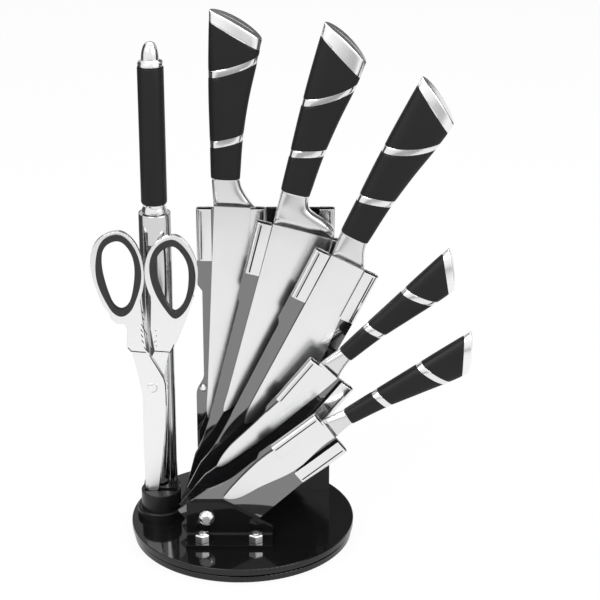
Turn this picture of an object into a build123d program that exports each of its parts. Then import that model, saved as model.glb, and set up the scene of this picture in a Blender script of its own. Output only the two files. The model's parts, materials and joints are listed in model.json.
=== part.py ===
from build123d import *
import os
from collections import namedtuple
from math import cos, radians, sin, sqrt, tan

os.makedirs("parts", exist_ok=True)

# Carousel knife stand with five knives, a sharpening steel and kitchen scissors.
# Millimetres, +Z up. X runs to the right, Y to the rear; the origin is the centre of the resting face.

# ---------------------------------------------------------------- driving dimensions
# base and turntable
mat_radius = 78.0
mat_thickness = 1.0
base_radius = 83.5
disc_thickness = 5.0
deck_radius = 85.0
turn_gap = 1.6
disc_edge_round = 0.6
race_inner_radius = 22.0
race_outer_radius = 34.0
race_depth = 2.6
race_proud = 0.4
ball_diameter = 3.2
ball_count = 18
ball_clearance = 0.05
pin_radius = 4.0
pin_head_radius = 9.0
pin_head_thickness = 1.5
pin_reach = 3.0
pin_clearance = 0.06

# hub of the fan
hub_x = -26.0
hub_height = 18.0
hub_bolt_radius = 3.0
hub_hole_clearance = 0.1
hub_head_radius = 6.0
hub_head_thickness = 4.0
spacer_radius = 6.5
dome_nut_radius = 6.0
dome_nut_skirt = 3.0
nut_bore_depth = 6.0

# leaves
sheet = 2.0
rear_leaf_setback = 45.0
leaf_pitch = 18.5
deck_clearance = 2.0
leaf_root_left = 16.4
leaf_waist_left = 12.4
leaf_left = 15.0
leaf_corner_drop = 14.5
leaf_root_top = 20.0
leaf_flare_height = 25.0
leaf_root_right = 20.0
notch_height = 5.0
small_notch_drop = 11.0
large_notch_drop = 21.0

# rolled guides on the leaves
guide_width = 11.5
guide_wall = 1.0
blade_room = 3.6
guide_round = 3.3
guide_length = 41.0
guide_fit = 0.1

# rear leaf and rear support panel
rear_leaf_left = -33.5
rear_leaf_right = 70.0
rear_leaf_top = 236.5
middle_guide_right = 18.5
rear_leaf_waist = -30.0
panel_left = -36.0
panel_right = 67.0
panel_height = 92.0
panel_thickness = 3.0
panel_corner_radius = 9.0
panel_foot_left = -28.0
panel_foot_right = 46.0
panel_foot_length = 18.0
panel_bolt_inset = 5.6
panel_bolt_drop = 2.8
panel_bolt_radius = 1.5
panel_head_radius = 3.0
panel_head_height = 2.2

# front bracket
bracket_left = -41.0
bracket_right = 23.3
bracket_shelf_right = -13.8
bracket_high = 30.0
bracket_low = 9.4
bracket_thickness = 3.0
bracket_foot_length = 17.0
bend_radius = 2.0

# cap nuts and screws of the feet
foot_nut_radius = 5.9
foot_nut_height = 6.4
foot_nut_chamfer = 0.7
foot_screw_reach = 0.5
foot_screw_radius = 2.5
foot_screw_head_radius = 4.5
foot_screw_head_height = 2.0
screw_clearance = 0.1
front_nut_x = (-29.0, 11.0)
rear_nut_x = (-18.0, 36.0)

# tube, socket and pocket for the scissors' tips
tube_setback = 22.2
tube_y = 19.0
tube_radius = 12.0
tube_wall = 1.0
tube_top = 240.6
tube_seat = 3.0
insert_depth = 0.4
insert_thickness = 6.0
flange_radius = 18.4
flange_height = 6.1
collar_radius = 15.1
collar_forward = 13.0
collar_back_wall = 1.6
collar_top = 20.0
collar_edge_round = 0.6
pocket_half_width = 12.4
pocket_corner = 1.5
socket_fit = 0.05
pocket_floor = 3.2
socket_screw_spacing = 16.0

# sharpening steel
rod_radius = 5.5
rod_length = 196.0
rod_tip_round = 2.5
ferrule_radius = 9.3
ferrule_height = 7.6
ferrule_neck = 8.4
steel_grip_radius = 9.6
steel_grip_length = 103.2
steel_cap_height = 5.5
finial_radius = 6.6
finial_height = 12.2
steel_seat_gap = 0.3

# knives, shared
blade_offset = 1.8
blade_thickness = 2.0
edge_thickness = 0.5
seat_gap = 0.3
heel_thickness = 3.4
core_share = 0.4
core_place = 0.42
core_thickness = 6.0
tang_share = 0.65
tang_reach = 45.0
end_overrun = 6.0
cap_margin = 1.0
section_round = 0.42

# scissors
scissor_y = 3.0
half_thickness = 1.8
arm_thickness = 4.4
pivot_x = -66.9
pivot_height = 106.8
pivot_radius = 2.6
pivot_head_radius = 3.9
pivot_head_height = 0.9
pivot_clearance = 0.05
halves_gap = 0.1
liner_thickness = 6.0
liner_width = 5.0
step_height = 135.5
scissor_slot_clearance = 0.6

# ---------------------------------------------------------------- heights and places worked out
base_bottom = mat_thickness
rear_leaf_y = deck_radius - rear_leaf_setback
tube_x = tube_setback - deck_radius
base_top = base_bottom + disc_thickness
deck_bottom = base_top + turn_gap
deck = deck_bottom + disc_thickness
ball_ring_radius = (race_inner_radius + race_outer_radius) / 2
ball_height = base_top + turn_gap / 2
hub_z = deck + hub_height
panel_front_y = rear_leaf_y + sheet
panel_back_y = panel_front_y + panel_thickness


def save(piece, name):
    """Label a finished sub-part and write its STEP file."""
    piece.label = name
    export_step(piece, f"parts/{name}.step")


def leaf_front_y(number):
    """Y of the front face of leaf 1 (rear) to leaf 5 (front)."""
    return rear_leaf_y - (number - 1) * leaf_pitch


def upright(y):
    """Plane facing the front: local x to the right, local y up from the deck."""
    return Plane(origin=(0, y, deck), x_dir=(1, 0, 0), z_dir=(0, -1, 0))


def tilted(origin, tilt):
    """Plane facing the front, turned clockwise by tilt: local y runs up along the leaning axis."""
    return Plane(origin=origin, x_dir=(cos(radians(tilt)), 0, -sin(radians(tilt))), z_dir=(0, -1, 0))


def across(plane, height):
    """Plane square to a tilted plane's local y at a height along it; its local y points to the rear."""
    return Plane(origin=plane.origin + plane.y_dir * height, x_dir=plane.x_dir, z_dir=plane.y_dir)


# ---------------------------------------------------------------- base that stands still
with BuildPart() as rubber_mat:
    with BuildSketch(Plane.XY):
        Circle(mat_radius)
    extrude(amount=mat_thickness)
save(rubber_mat.part, "rubber_mat")

with BuildPart() as base_disc:
    with BuildSketch(Plane.XY.offset(base_bottom)):
        Circle(base_radius)
    extrude(amount=disc_thickness)
    fillet(base_disc.edges().filter_by(GeomType.CIRCLE), disc_edge_round)
    with BuildSketch(Plane.XY.offset(base_top)):
        Circle(race_outer_radius)
        Circle(race_inner_radius, mode=Mode.SUBTRACT)
    extrude(amount=-race_depth, mode=Mode.SUBTRACT)
    with BuildSketch(Plane.XY.offset(base_bottom)):
        Circle(pin_radius)
    extrude(amount=disc_thickness, mode=Mode.SUBTRACT)
    with BuildSketch(Plane.XY.offset(base_bottom)):
        Circle(pin_head_radius)
    extrude(amount=pin_head_thickness, mode=Mode.SUBTRACT)
save(base_disc.part, "base_disc")

with BuildPart() as pivot_pin:
    with BuildSketch(Plane.XY.offset(base_bottom)):
        Circle(pin_head_radius)
    extrude(amount=pin_head_thickness)
    with BuildSketch(Plane.XY.offset(base_bottom)):
        Circle(pin_radius)
    extrude(amount=disc_thickness + turn_gap + pin_reach)
save(pivot_pin.part, "pivot_pin")


def race(face_height, direction):
    """Ring of the bearing: let into a disc whose face is at face_height, standing proud along direction."""
    ring_height = race_depth + race_proud
    with BuildPart() as ring:
        with BuildSketch(Plane.XY.offset(face_height - direction * race_depth)):
            Circle(race_outer_radius)
            Circle(race_inner_radius, mode=Mode.SUBTRACT)
        extrude(amount=direction * ring_height)
        with BuildSketch(Plane.XZ) as groove:
            with Locations((ball_ring_radius, ball_height)):
                Circle(ball_diameter / 2 + ball_clearance)
        revolve(axis=Axis.Z, mode=Mode.SUBTRACT)
    return ring.part


save(race(base_top, 1), "bearing_lower_race")
save(race(deck_bottom, -1), "bearing_upper_race")

with BuildPart() as bearing_balls:
    with Locations(Plane.XY.offset(ball_height)):
        with PolarLocations(ball_ring_radius, ball_count):
            Sphere(ball_diameter / 2)
save(bearing_balls.part, "bearing_balls")

# ---------------------------------------------------------------- turntable disc
front_foot_y = leaf_front_y(5) - bracket_thickness - bracket_foot_length / 2 - bend_radius / 2
rear_foot_y = panel_back_y + panel_foot_length / 2
front_nuts = [(x, front_foot_y) for x in front_nut_x]
rear_nuts = [(x, rear_foot_y) for x in rear_nut_x]
socket_y = tube_y - collar_forward
socket_screw_places = [(tube_x, tube_y - socket_screw_spacing / 2), (tube_x, tube_y + socket_screw_spacing / 2)]

with BuildPart() as turntable_disc:
    with BuildSketch(Plane.XY.offset(deck_bottom)):
        Circle(deck_radius)
    extrude(amount=disc_thickness)
    fillet(turntable_disc.edges().filter_by(GeomType.CIRCLE), disc_edge_round)
    with BuildSketch(Plane.XY.offset(deck_bottom)):
        Circle(race_outer_radius)
        Circle(race_inner_radius, mode=Mode.SUBTRACT)
    extrude(amount=race_depth, mode=Mode.SUBTRACT)
    with BuildSketch(Plane.XY.offset(deck_bottom)):
        Circle(pin_radius + pin_clearance)
    extrude(amount=pin_reach + pin_clearance, mode=Mode.SUBTRACT)
    with BuildSketch(Plane.XY.offset(deck_bottom)):
        with Locations(*front_nuts, *rear_nuts, *socket_screw_places):
            Circle(foot_screw_radius + screw_clearance)
    extrude(amount=disc_thickness, mode=Mode.SUBTRACT)
    with BuildSketch(Plane.XY.offset(deck_bottom)):
        with Locations(*front_nuts, *rear_nuts, *socket_screw_places):
            Circle(foot_screw_head_radius + screw_clearance)
    extrude(amount=foot_screw_head_height, mode=Mode.SUBTRACT)
save(turntable_disc.part, "turntable_disc")


def screws(places, reach):
    """Flat-headed screws let into the turntable's underside, standing up to reach above the deck."""
    with BuildPart() as group:
        with BuildSketch(Plane.XY.offset(deck_bottom)):
            with Locations(*places):
                Circle(foot_screw_head_radius)
        extrude(amount=foot_screw_head_height)
        with BuildSketch(Plane.XY.offset(deck_bottom)):
            with Locations(*places):
                Circle(foot_screw_radius)
        extrude(amount=disc_thickness + reach)
    return group.part


save(screws(front_nuts + rear_nuts, bracket_thickness + foot_nut_height + foot_screw_reach), "foot_screws")
save(screws(socket_screw_places, tube_seat - 0.5), "socket_screws")

with BuildPart() as foot_nuts:
    with BuildSketch(Plane.XY.offset(deck + bracket_thickness)):
        with Locations(*front_nuts, *rear_nuts):
            RegularPolygon(foot_nut_radius, 6, rotation=30)
    extrude(amount=foot_nut_height)
    chamfer(foot_nuts.faces().group_by(Axis.Z)[-1].edges(), foot_nut_chamfer)
    with BuildSketch(Plane.XY.offset(deck + bracket_thickness)):
        with Locations(*front_nuts, *rear_nuts):
            Circle(foot_screw_radius)
    extrude(amount=foot_nut_height, mode=Mode.SUBTRACT)
save(foot_nuts.part, "foot_nuts")


# ---------------------------------------------------------------- fan of leaves
Leaf = namedtuple("Leaf", "number tilt top right low_right notch_drop")
leaves = [
    Leaf(2, 14.0, 218.0, 54.0, 40.0, large_notch_drop),
    Leaf(3, 26.0, 216.0, 36.5, 33.0, large_notch_drop),
    Leaf(4, 38.5, 143.0, 26.3, 24.0, small_notch_drop),
    Leaf(5, 51.0, 115.5, 24.2, 27.5, small_notch_drop),
]


def leaf_plane(leaf):
    """Front face of a fan leaf, with its origin on the hub axis."""
    return tilted((hub_x, leaf_front_y(leaf.number), hub_z), leaf.tilt)


def together(*pieces):
    """Several separate solids as one sub-part."""
    with BuildPart() as group:
        for piece in pieces:
            add(piece)
    return group.part


def channel(plane, start, outer, inward):
    """Rolled guide: a C section open towards the blade, run along a leaf's side from start up.

    outer is the local x of its outer side and inward is +1 or -1, towards the blade. Its back wall lies against
    the leaf's back.
    """
    middle = outer + inward * guide_width / 2
    depth = sheet + blade_room + 2 * guide_wall
    centre = sheet + guide_wall - depth / 2
    side = -1 if inward > 0 else 1
    with BuildPart() as guide:
        with BuildSketch(across(plane, start)):
            with BuildSketch(Plane.XY, mode=Mode.PRIVATE) as hollow:
                with Locations((middle + inward * guide_wall, centre)):
                    Rectangle(guide_width, depth - 2 * guide_wall)
                inner_side = hollow.vertices().sort_by(Axis.X, reverse=side > 0)[0:2]
                fillet(inner_side, guide_round - guide_wall)
            with BuildSketch(Plane.XY) as wall:
                with Locations((middle, centre)):
                    Rectangle(guide_width, depth)
                outer_side = wall.vertices().sort_by(Axis.X, reverse=side > 0)[0:2]
                fillet(outer_side, guide_round)
                add(hollow.sketch, mode=Mode.SUBTRACT)
        extrude(amount=guide_length)
    return guide.part


hub_clear = hub_bolt_radius + hub_hole_clearance
for leaf in leaves:
    face = leaf_plane(leaf)
    notch = leaf.top - guide_length - leaf.notch_drop
    inset = guide_round + guide_fit
    guide_start = leaf.top - guide_length
    with BuildPart() as sheet_part:
        with BuildSketch(face):
            with BuildLine():
                Polyline(
                    (-leaf_left + inset, leaf.top),
                    (-leaf_left + inset, guide_start),
                    (-leaf_left, guide_start),
                    (-leaf_left, notch),
                    (-leaf_waist_left, notch - notch_height),
                )
                Spline(
                    (-leaf_waist_left, notch - notch_height),
                    (-leaf_waist_left, notch * 0.45),
                    (-leaf_root_left, min(notch * 0.2, leaf_root_top)),
                    tangents=[(0, -1), (-0.3, -1)],
                )
                Polyline(
                    (-leaf_root_left, min(notch * 0.2, leaf_root_top)),
                    (-leaf_root_left, -leaf_corner_drop),
                    (leaf_root_right, -leaf_corner_drop),
                    (leaf.low_right, leaf_flare_height),
                    (leaf.right, guide_start),
                    (leaf.right - inset, guide_start),
                    (leaf.right - inset, leaf.top),
                    (-leaf_left + inset, leaf.top),
                )
            make_face()
            Circle(hub_clear, mode=Mode.SUBTRACT)
        extrude(amount=-sheet)
        split(bisect_by=Plane.XY.offset(deck + deck_clearance), keep=Keep.TOP)
    save(sheet_part.part, f"leaf_{leaf.number}")

    left_guide = channel(face, guide_start, -leaf_left, 1)
    right_guide = channel(face, guide_start, leaf.right, -1)
    save(together(left_guide, right_guide), f"guides_{leaf.number}")

# rear leaf: a wide upright panel with three guides
rear_face = upright(rear_leaf_y)
rear_notch = rear_leaf_top - guide_length - large_notch_drop
panel_bolt_places = [
    (panel_left + panel_bolt_inset, panel_height - panel_bolt_drop),
    (panel_right - panel_bolt_inset, panel_height - panel_bolt_drop),
]
with BuildPart() as leaf_1:
    with BuildSketch(rear_face):
        with BuildLine():
            Polyline(
                (rear_leaf_left + guide_round + guide_fit, rear_leaf_top),
                (rear_leaf_left + guide_round + guide_fit, rear_leaf_top - guide_length),
                (rear_leaf_left, rear_leaf_top - guide_length),
                (rear_leaf_left, rear_notch),
                (rear_leaf_waist, rear_notch - notch_height),
                (rear_leaf_waist, panel_height + panel_corner_radius),
            )
            Spline(
                (rear_leaf_waist, panel_height + panel_corner_radius),
                (panel_left, panel_height - panel_corner_radius),
                tangents=[(0, -1), (0, -1)],
            )
            Polyline(
                (panel_left, panel_height - panel_corner_radius),
                (panel_left, 0),
                (panel_right, 0),
                (panel_right, panel_height),
                (rear_leaf_right, rear_leaf_top - guide_length),
                (rear_leaf_right - guide_round - guide_fit, rear_leaf_top - guide_length),
                (rear_leaf_right - guide_round - guide_fit, rear_leaf_top),
                (rear_leaf_left + guide_round + guide_fit, rear_leaf_top),
            )
        make_face()
        with Locations((hub_x, hub_height)):
            Circle(hub_clear, mode=Mode.SUBTRACT)
        with Locations(*panel_bolt_places):
            Circle(panel_bolt_radius + screw_clearance, mode=Mode.SUBTRACT)
        slit_width = guide_round + 2 * guide_fit
        slit_place = (middle_guide_right + guide_fit - slit_width / 2, rear_leaf_top - guide_length / 2)
        with Locations(slit_place):
            Rectangle(slit_width, guide_length + guide_fit, mode=Mode.SUBTRACT)
    extrude(amount=-sheet)
save(leaf_1.part, "leaf_1")

with BuildPart() as rear_panel:
    with BuildSketch(Plane.YZ.offset(panel_left)):
        with BuildLine():
            Polyline(
                (panel_front_y, deck),
                (panel_front_y, deck + panel_height),
                (panel_back_y, deck + panel_height),
                (panel_back_y, deck + panel_thickness),
                (panel_back_y + panel_foot_length, deck + panel_thickness),
                (panel_back_y + panel_foot_length, deck),
                close=True,
            )
        make_face()
    extrude(amount=panel_right - panel_left)
    inner_bend = rear_panel.edges().filter_by(Axis.X).sort_by_distance((0, panel_back_y, deck + panel_thickness))[0]
    fillet(inner_bend, bend_radius)
    with BuildSketch(upright(panel_front_y)):
        with BuildLine():
            Polyline(
                (panel_left, 0),
                (panel_left, panel_height - panel_corner_radius),
                (panel_left + panel_corner_radius, panel_height),
                (panel_right - panel_corner_radius, panel_height),
                (panel_right, panel_height - panel_corner_radius),
                (panel_right, 0),
                close=True,
            )
        make_face()
        with Locations((hub_x, hub_height)):
            Circle(hub_clear, mode=Mode.SUBTRACT)
        with Locations(*panel_bolt_places):
            Circle(panel_bolt_radius + screw_clearance, mode=Mode.SUBTRACT)
    extrude(amount=-panel_thickness - panel_foot_length, mode=Mode.INTERSECT)
    with BuildSketch(Plane.XY.offset(deck)):
        with Locations((0, (panel_front_y + panel_back_y) / 2)):
            Rectangle(4 * deck_radius, panel_thickness)
        with Locations(((panel_foot_left + panel_foot_right) / 2, panel_back_y + panel_foot_length / 2)):
            Rectangle(panel_foot_right - panel_foot_left, panel_foot_length)
        with Locations(*rear_nuts):
            Circle(foot_screw_radius + screw_clearance, mode=Mode.SUBTRACT)
    extrude(amount=panel_height, mode=Mode.INTERSECT)
save(rear_panel.part, "rear_panel")

rear_start = rear_leaf_top - guide_length
rear_left_guide = channel(rear_face, rear_start, rear_leaf_left, 1)
rear_middle_guide = channel(rear_face, rear_start, middle_guide_right, -1)
rear_right_guide = channel(rear_face, rear_start, rear_leaf_right, -1)
save(together(rear_left_guide, rear_middle_guide, rear_right_guide), "guides_1")

# ---------------------------------------------------------------- hub bolt, sleeves, nut, bracket
bracket_front_y = leaf_front_y(5) - bracket_thickness
hub_axis_front = Plane(origin=(hub_x, bracket_front_y, hub_z), x_dir=(1, 0, 0), z_dir=(0, -1, 0))
hub_axis_back = Plane(origin=(hub_x, panel_back_y, hub_z), x_dir=(1, 0, 0), z_dir=(0, -1, 0))
with BuildPart() as hub_bolt:
    with BuildSketch(hub_axis_back):
        RegularPolygon(hub_head_radius, 6)
    extrude(amount=-hub_head_thickness)
    with BuildSketch(hub_axis_back):
        Circle(hub_bolt_radius)
    extrude(amount=panel_back_y - bracket_front_y + nut_bore_depth)
save(hub_bolt.part, "hub_bolt")

with BuildPart() as hub_spacers:
    for number in range(1, 5):
        with BuildSketch(Plane(origin=(hub_x, leaf_front_y(number), hub_z), x_dir=(1, 0, 0), z_dir=(0, -1, 0))):
            Circle(spacer_radius)
            Circle(hub_clear, mode=Mode.SUBTRACT)
        extrude(amount=leaf_pitch - sheet)
save(hub_spacers.part, "hub_spacers")

with BuildPart() as hub_dome_nut:
    with BuildSketch(hub_axis_front):
        Circle(dome_nut_radius)
    extrude(amount=dome_nut_skirt)
    with Locations(hub_axis_front.offset(dome_nut_skirt)):
        Sphere(dome_nut_radius)
    with BuildSketch(hub_axis_front):
        Circle(2 * dome_nut_radius)
    extrude(amount=-2 * dome_nut_radius, mode=Mode.SUBTRACT)
    with BuildSketch(hub_axis_front):
        Circle(hub_bolt_radius)
    extrude(amount=nut_bore_depth, mode=Mode.SUBTRACT)
save(hub_dome_nut.part, "hub_dome_nut")

with BuildPart() as front_bracket:
    with BuildSketch(Plane.YZ.offset(bracket_left)):
        with BuildLine():
            Polyline(
                (bracket_front_y + bracket_thickness, deck),
                (bracket_front_y + bracket_thickness, deck + bracket_high),
                (bracket_front_y, deck + bracket_high),
                (bracket_front_y, deck + bracket_thickness),
                (bracket_front_y - bracket_foot_length, deck + bracket_thickness),
                (bracket_front_y - bracket_foot_length, deck),
                close=True,
            )
        make_face()
    extrude(amount=bracket_right - bracket_left)
    inner_corner = (0, bracket_front_y, deck + bracket_thickness)
    fillet(front_bracket.edges().filter_by(Axis.X).sort_by_distance(inner_corner)[0], bend_radius)
    with BuildSketch(upright(bracket_front_y + bracket_thickness)):
        with BuildLine():
            Polyline(
                (bracket_left, 0),
                (bracket_left, bracket_high),
                (bracket_shelf_right, bracket_high),
                (bracket_right, bracket_low),
                (bracket_right, 0),
                close=True,
            )
        make_face()
        with Locations((hub_x, hub_height)):
            Circle(hub_clear, mode=Mode.SUBTRACT)
    extrude(amount=bracket_thickness + bracket_foot_length, mode=Mode.INTERSECT)
    with BuildSketch(Plane.XY.offset(deck)):
        with Locations(*front_nuts):
            Circle(foot_screw_radius + screw_clearance)
    extrude(amount=bracket_thickness, mode=Mode.SUBTRACT)
save(front_bracket.part, "front_bracket")


def panel_studs(head_plane, shank):
    """Two round-headed fasteners at the panel's shoulders, heads on a plane, shanks behind it."""
    with BuildPart() as group:
        with BuildSketch(head_plane):
            with Locations(*panel_bolt_places):
                Circle(panel_head_radius)
        extrude(amount=panel_head_height)
        fillet(group.faces().sort_by(Axis.Y)[0:2].edges(), panel_head_height * 0.7)
        with BuildSketch(head_plane):
            with Locations(*panel_bolt_places):
                Circle(panel_bolt_radius)
        extrude(amount=-shank)
    return group.part


stud_length = sheet + panel_thickness + panel_head_height
save(panel_studs(upright(rear_leaf_y), stud_length), "panel_bolts")

with BuildPart() as panel_nuts:
    with BuildSketch(upright(panel_back_y)):
        with Locations(*panel_bolt_places):
            RegularPolygon(panel_head_radius, 6)
        with Locations(*panel_bolt_places):
            Circle(panel_bolt_radius, mode=Mode.SUBTRACT)
    extrude(amount=-panel_head_height)
save(panel_nuts.part, "panel_nuts")

# ---------------------------------------------------------------- tube and socket
tube_bottom = deck + tube_seat
with BuildPart() as steel_tube:
    with BuildSketch(Plane.XY.offset(tube_bottom)):
        with Locations((tube_x, tube_y)):
            Circle(tube_radius)
            Circle(tube_radius - tube_wall, mode=Mode.SUBTRACT)
    extrude(amount=tube_top - tube_seat)
save(steel_tube.part, "steel_tube")

insert_top = deck + tube_top - insert_depth
with BuildPart() as tube_insert:
    with BuildSketch(Plane.XY.offset(insert_top - insert_thickness)):
        with Locations((tube_x, tube_y)):
            Circle(tube_radius - tube_wall)
            Circle(rod_radius + 1.0, mode=Mode.SUBTRACT)
    extrude(amount=insert_thickness)
save(tube_insert.part, "tube_insert")

collar_back_radius = tube_radius + collar_back_wall
pocket_depth = 2 * (half_thickness + scissor_slot_clearance)
with BuildPart() as tube_socket:
    with BuildSketch(Plane.XY.offset(deck)):
        with Locations((tube_x, socket_y)):
            Circle(flange_radius)
    extrude(amount=flange_height)
    fillet(tube_socket.faces().sort_by(Axis.Z)[-1].edges(), 1.2)
    with BuildSketch(Plane.XY.offset(deck)):
        with Locations((tube_x, socket_y)):
            Circle(collar_radius)
        with Locations((tube_x, tube_y)):
            Circle(collar_back_radius)
        with Locations((tube_x, (socket_y + tube_y) / 2)):
            Rectangle(2 * collar_back_radius, collar_forward)
    extrude(amount=collar_top)
    fillet(tube_socket.faces().sort_by(Axis.Z)[-1].edges(), collar_edge_round)
    with BuildSketch(Plane.XY.offset(deck + tube_seat)):
        with Locations((tube_x, tube_y)):
            Circle(tube_radius + socket_fit)
    extrude(amount=collar_top, mode=Mode.SUBTRACT)
    with BuildSketch(Plane.XY.offset(deck + pocket_floor)):
        with Locations((tube_x, scissor_y)):
            RectangleRounded(2 * pocket_half_width, pocket_depth, pocket_corner)
    extrude(amount=collar_top, mode=Mode.SUBTRACT)
    with BuildSketch(Plane.XY.offset(deck)):
        with Locations(*socket_screw_places):
            Circle(foot_screw_radius)
    extrude(amount=tube_seat - 0.5, mode=Mode.SUBTRACT)
save(tube_socket.part, "tube_socket")

# ---------------------------------------------------------------- sharpening steel
steel_seat = insert_top + steel_seat_gap
with BuildPart() as steel_rod:
    with BuildSketch(Plane.XY.offset(steel_seat - rod_length)):
        with Locations((tube_x, tube_y)):
            Circle(rod_radius)
    extrude(amount=rod_length)
    fillet(steel_rod.faces().sort_by(Axis.Z)[0].edges(), rod_tip_round)
    with BuildSketch(Plane.XY.offset(steel_seat)):
        with Locations((tube_x, tube_y)):
            Circle(rod_radius * 0.7)
    extrude(amount=ferrule_height + steel_grip_length * 0.6)
save(steel_rod.part, "steel_rod")

ferrule_top = steel_seat + ferrule_height
with BuildPart() as steel_ferrule:
    with BuildSketch(Plane(origin=(tube_x, tube_y, steel_seat), x_dir=(1, 0, 0), z_dir=(0, -1, 0))):
        Polygon(
            (rod_radius * 0.7, 0),
            (ferrule_neck, 0),
            (ferrule_neck, ferrule_height * 0.25),
            (ferrule_radius, ferrule_height * 0.45),
            (ferrule_radius, ferrule_height),
            (rod_radius * 0.7, ferrule_height),
            align=None,
        )
    revolve(axis=Axis((tube_x, tube_y, 0), (0, 0, 1)))
save(steel_ferrule.part, "steel_ferrule")

with BuildPart() as steel_grip:
    with BuildSketch(Plane.XY.offset(ferrule_top)):
        with Locations((tube_x, tube_y)):
            Circle(steel_grip_radius)
    extrude(amount=steel_grip_length)
    fillet(steel_grip.edges().filter_by(GeomType.CIRCLE), 0.8)
    with BuildSketch(Plane.XY.offset(ferrule_top)):
        with Locations((tube_x, tube_y)):
            Circle(rod_radius * 0.7)
    extrude(amount=steel_grip_length * 0.6, mode=Mode.SUBTRACT)
save(steel_grip.part, "steel_grip")

cap_bottom = ferrule_top + steel_grip_length
with BuildPart() as steel_cap:
    with BuildSketch(Plane(origin=(tube_x, tube_y, cap_bottom), x_dir=(1, 0, 0), z_dir=(0, -1, 0))):
        with BuildLine():
            Polyline((0, 0), (ferrule_radius, 0), (ferrule_radius, steel_cap_height * 0.5))
            Spline(
                (ferrule_radius, steel_cap_height * 0.5),
                (finial_radius, steel_cap_height),
                tangents=[(0, 1), (-1, 0.2)],
            )
            Spline(
                (finial_radius, steel_cap_height),
                (finial_radius * 0.9, steel_cap_height + finial_height * 0.4),
                (0, steel_cap_height + finial_height),
                tangents=[(0, 1), (-1, 0)],
            )
            Line((0, steel_cap_height + finial_height), (0, 0))
        make_face()
    revolve(axis=Axis((tube_x, tube_y, 0), (0, 0, 1)))
save(steel_cap.part, "steel_cap")

# ---------------------------------------------------------------- knives
# Each blade hangs with its spine on the left. Sections of a handle are (height, bow of the spine side, width,
# thickness) from the line where the grips start; rings and cap run from their height at the spine side to their
# height at the belly side, and the two rings sag between by sags. A flare gives the share by which the bolster has
# narrowed at a share of its height, and the bulge is the rise of the cap's domed end.
Handle = namedtuple(
    "Handle", "start left lean sections ring_width low_ring high_ring cap_low cap_top sags flare bulge"
)
Knife = namedtuple("Knife", "number tilt leaf_tilt leaf_top heel_x width edge spine handle")

large_sections = [
    (0, 0.4, 21.8, 13.4), (30, 1.1, 24.5, 14.8), (60, 1.9, 29.4, 15.6), (90, 2.0, 35.0, 15.6), (136, 1.2, 39.5, 14.2),
]
small_sections = [
    (0, 0.1, 12.4, 10.6), (27, 0.4, 15.2, 12), (54, 0.6, 20.0, 13), (82, 0.9, 25.2, 13), (116, 0.9, 28.8, 12),
]
slicer_sections = [
    (0, 0.4, 21.8, 13.4), (30, 1.1, 24.5, 14.8), (60, 1.9, 29.4, 15.6), (90, 2.0, 35.8, 15.6), (136, 1.2, 44.5, 14.2),
]
hollow_flare = [(0, 0), (0.16, 0.256), (0.4, 0.58), (0.7, 0.87), (1, 1)]
footed_flare = [(0, 0), (0.2, 0.04), (0.33, 0.13), (0.44, 0.39), (0.53, 0.66), (0.63, 0.87), (0.78, 0.965), (1, 1)]
slicer_handle = Handle(
    22.9, -2.5, 2.0, slicer_sections, 5.3, (25.9, 32.9), (78.7, 92.0), (117.8, 98.1), (126.3, 106.5), (0.4, 1.3),
    hollow_flare, 3.2,
)
chef_handle = Handle(
    28.2, -0.7, 0.0, large_sections, 5.3, (29.0, 35.9), (68.2, 88.7), (118.5, 95.3), (128.6, 107.8), (0.1, 2.4),
    footed_flare, 3.2,
)
santoku_handle = Handle(
    20.6, -2.2, 0.2, large_sections, 5.3, (28.8, 35.8), (69.6, 89.1), (121.1, 99.6), (128.4, 107.7), (0.1, 3.0),
    hollow_flare, 3.0,
)
small_handle = Handle(
    18.0, 1.7, 0.0, small_sections, 4.9, (26.6, 30.3), (65.5, 75.3), (104.3, 86.0), (110.8, 91.3), (0.1, 1.1),
    hollow_flare, 2.6,
)

knives = [
    Knife(
        1, 2.8, 0.0, rear_leaf_top, -19.8, 31.5,
        [(30.6, -45), (29, -88), (22.5, -131), (12.5, -157), (1.1, -174.2)], [(0, -150)], slicer_handle,
    ),
    Knife(
        2, 14.5, leaves[0].tilt, leaves[0].top, -2.65, 46.0,
        [(43.5, -36), (38, -78), (25.5, -118), (12.5, -141), (0.7, -157)], [(0, -140)], chef_handle,
    ),
    Knife(
        3, 26.6, leaves[1].tilt, leaves[1].top, -2.1, 27.3,
        [(29, -48), (31.2, -79), (27.5, -112), (17, -138), (2.9, -151)], [(0, -128)], santoku_handle,
    ),
    Knife(
        4, 45.0, leaves[2].tilt, leaves[2].top, -6.4, 17.5,
        [(15.6, -40), (13.3, -76.4), (9.8, -100.7), (4.9, -115.7)], [(0, -88)], small_handle,
    ),
    Knife(
        5, 56.0, leaves[3].tilt, leaves[3].top, -7.4, 16.5,
        [(22.6, -37.9), (21.5, -54.4), (19.3, -72.5), (11.7, -96.7)], [(0, -42.6), (4.1, -71.7)], small_handle,
    ),
]


def knife_plane(knife):
    """Mid-plane of a knife, origin where the spine meets the bolster; the heel rests above the leaf's top."""
    rise = seat_gap + knife.width * sin(radians(knife.tilt - knife.leaf_tilt))
    if knife.number == 1:
        face = upright(leaf_front_y(1))
    else:
        face = tilted((hub_x, leaf_front_y(knife.number), hub_z), knife.leaf_tilt)
    heel = face.origin + face.x_dir * knife.heel_x + face.y_dir * (knife.leaf_top + rise)
    return tilted(heel - Vector(0, blade_offset, 0), knife.tilt)


def between(sections, height, column):
    """Value of a column of a handle's sections at a height, on a straight line between two sections."""
    for low, high in zip(sections, sections[1:]):
        if height <= high[0]:
            return low[column] + (high[column] - low[column]) * (height - low[0]) / (high[0] - low[0])
    return sections[-1][column]


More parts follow.
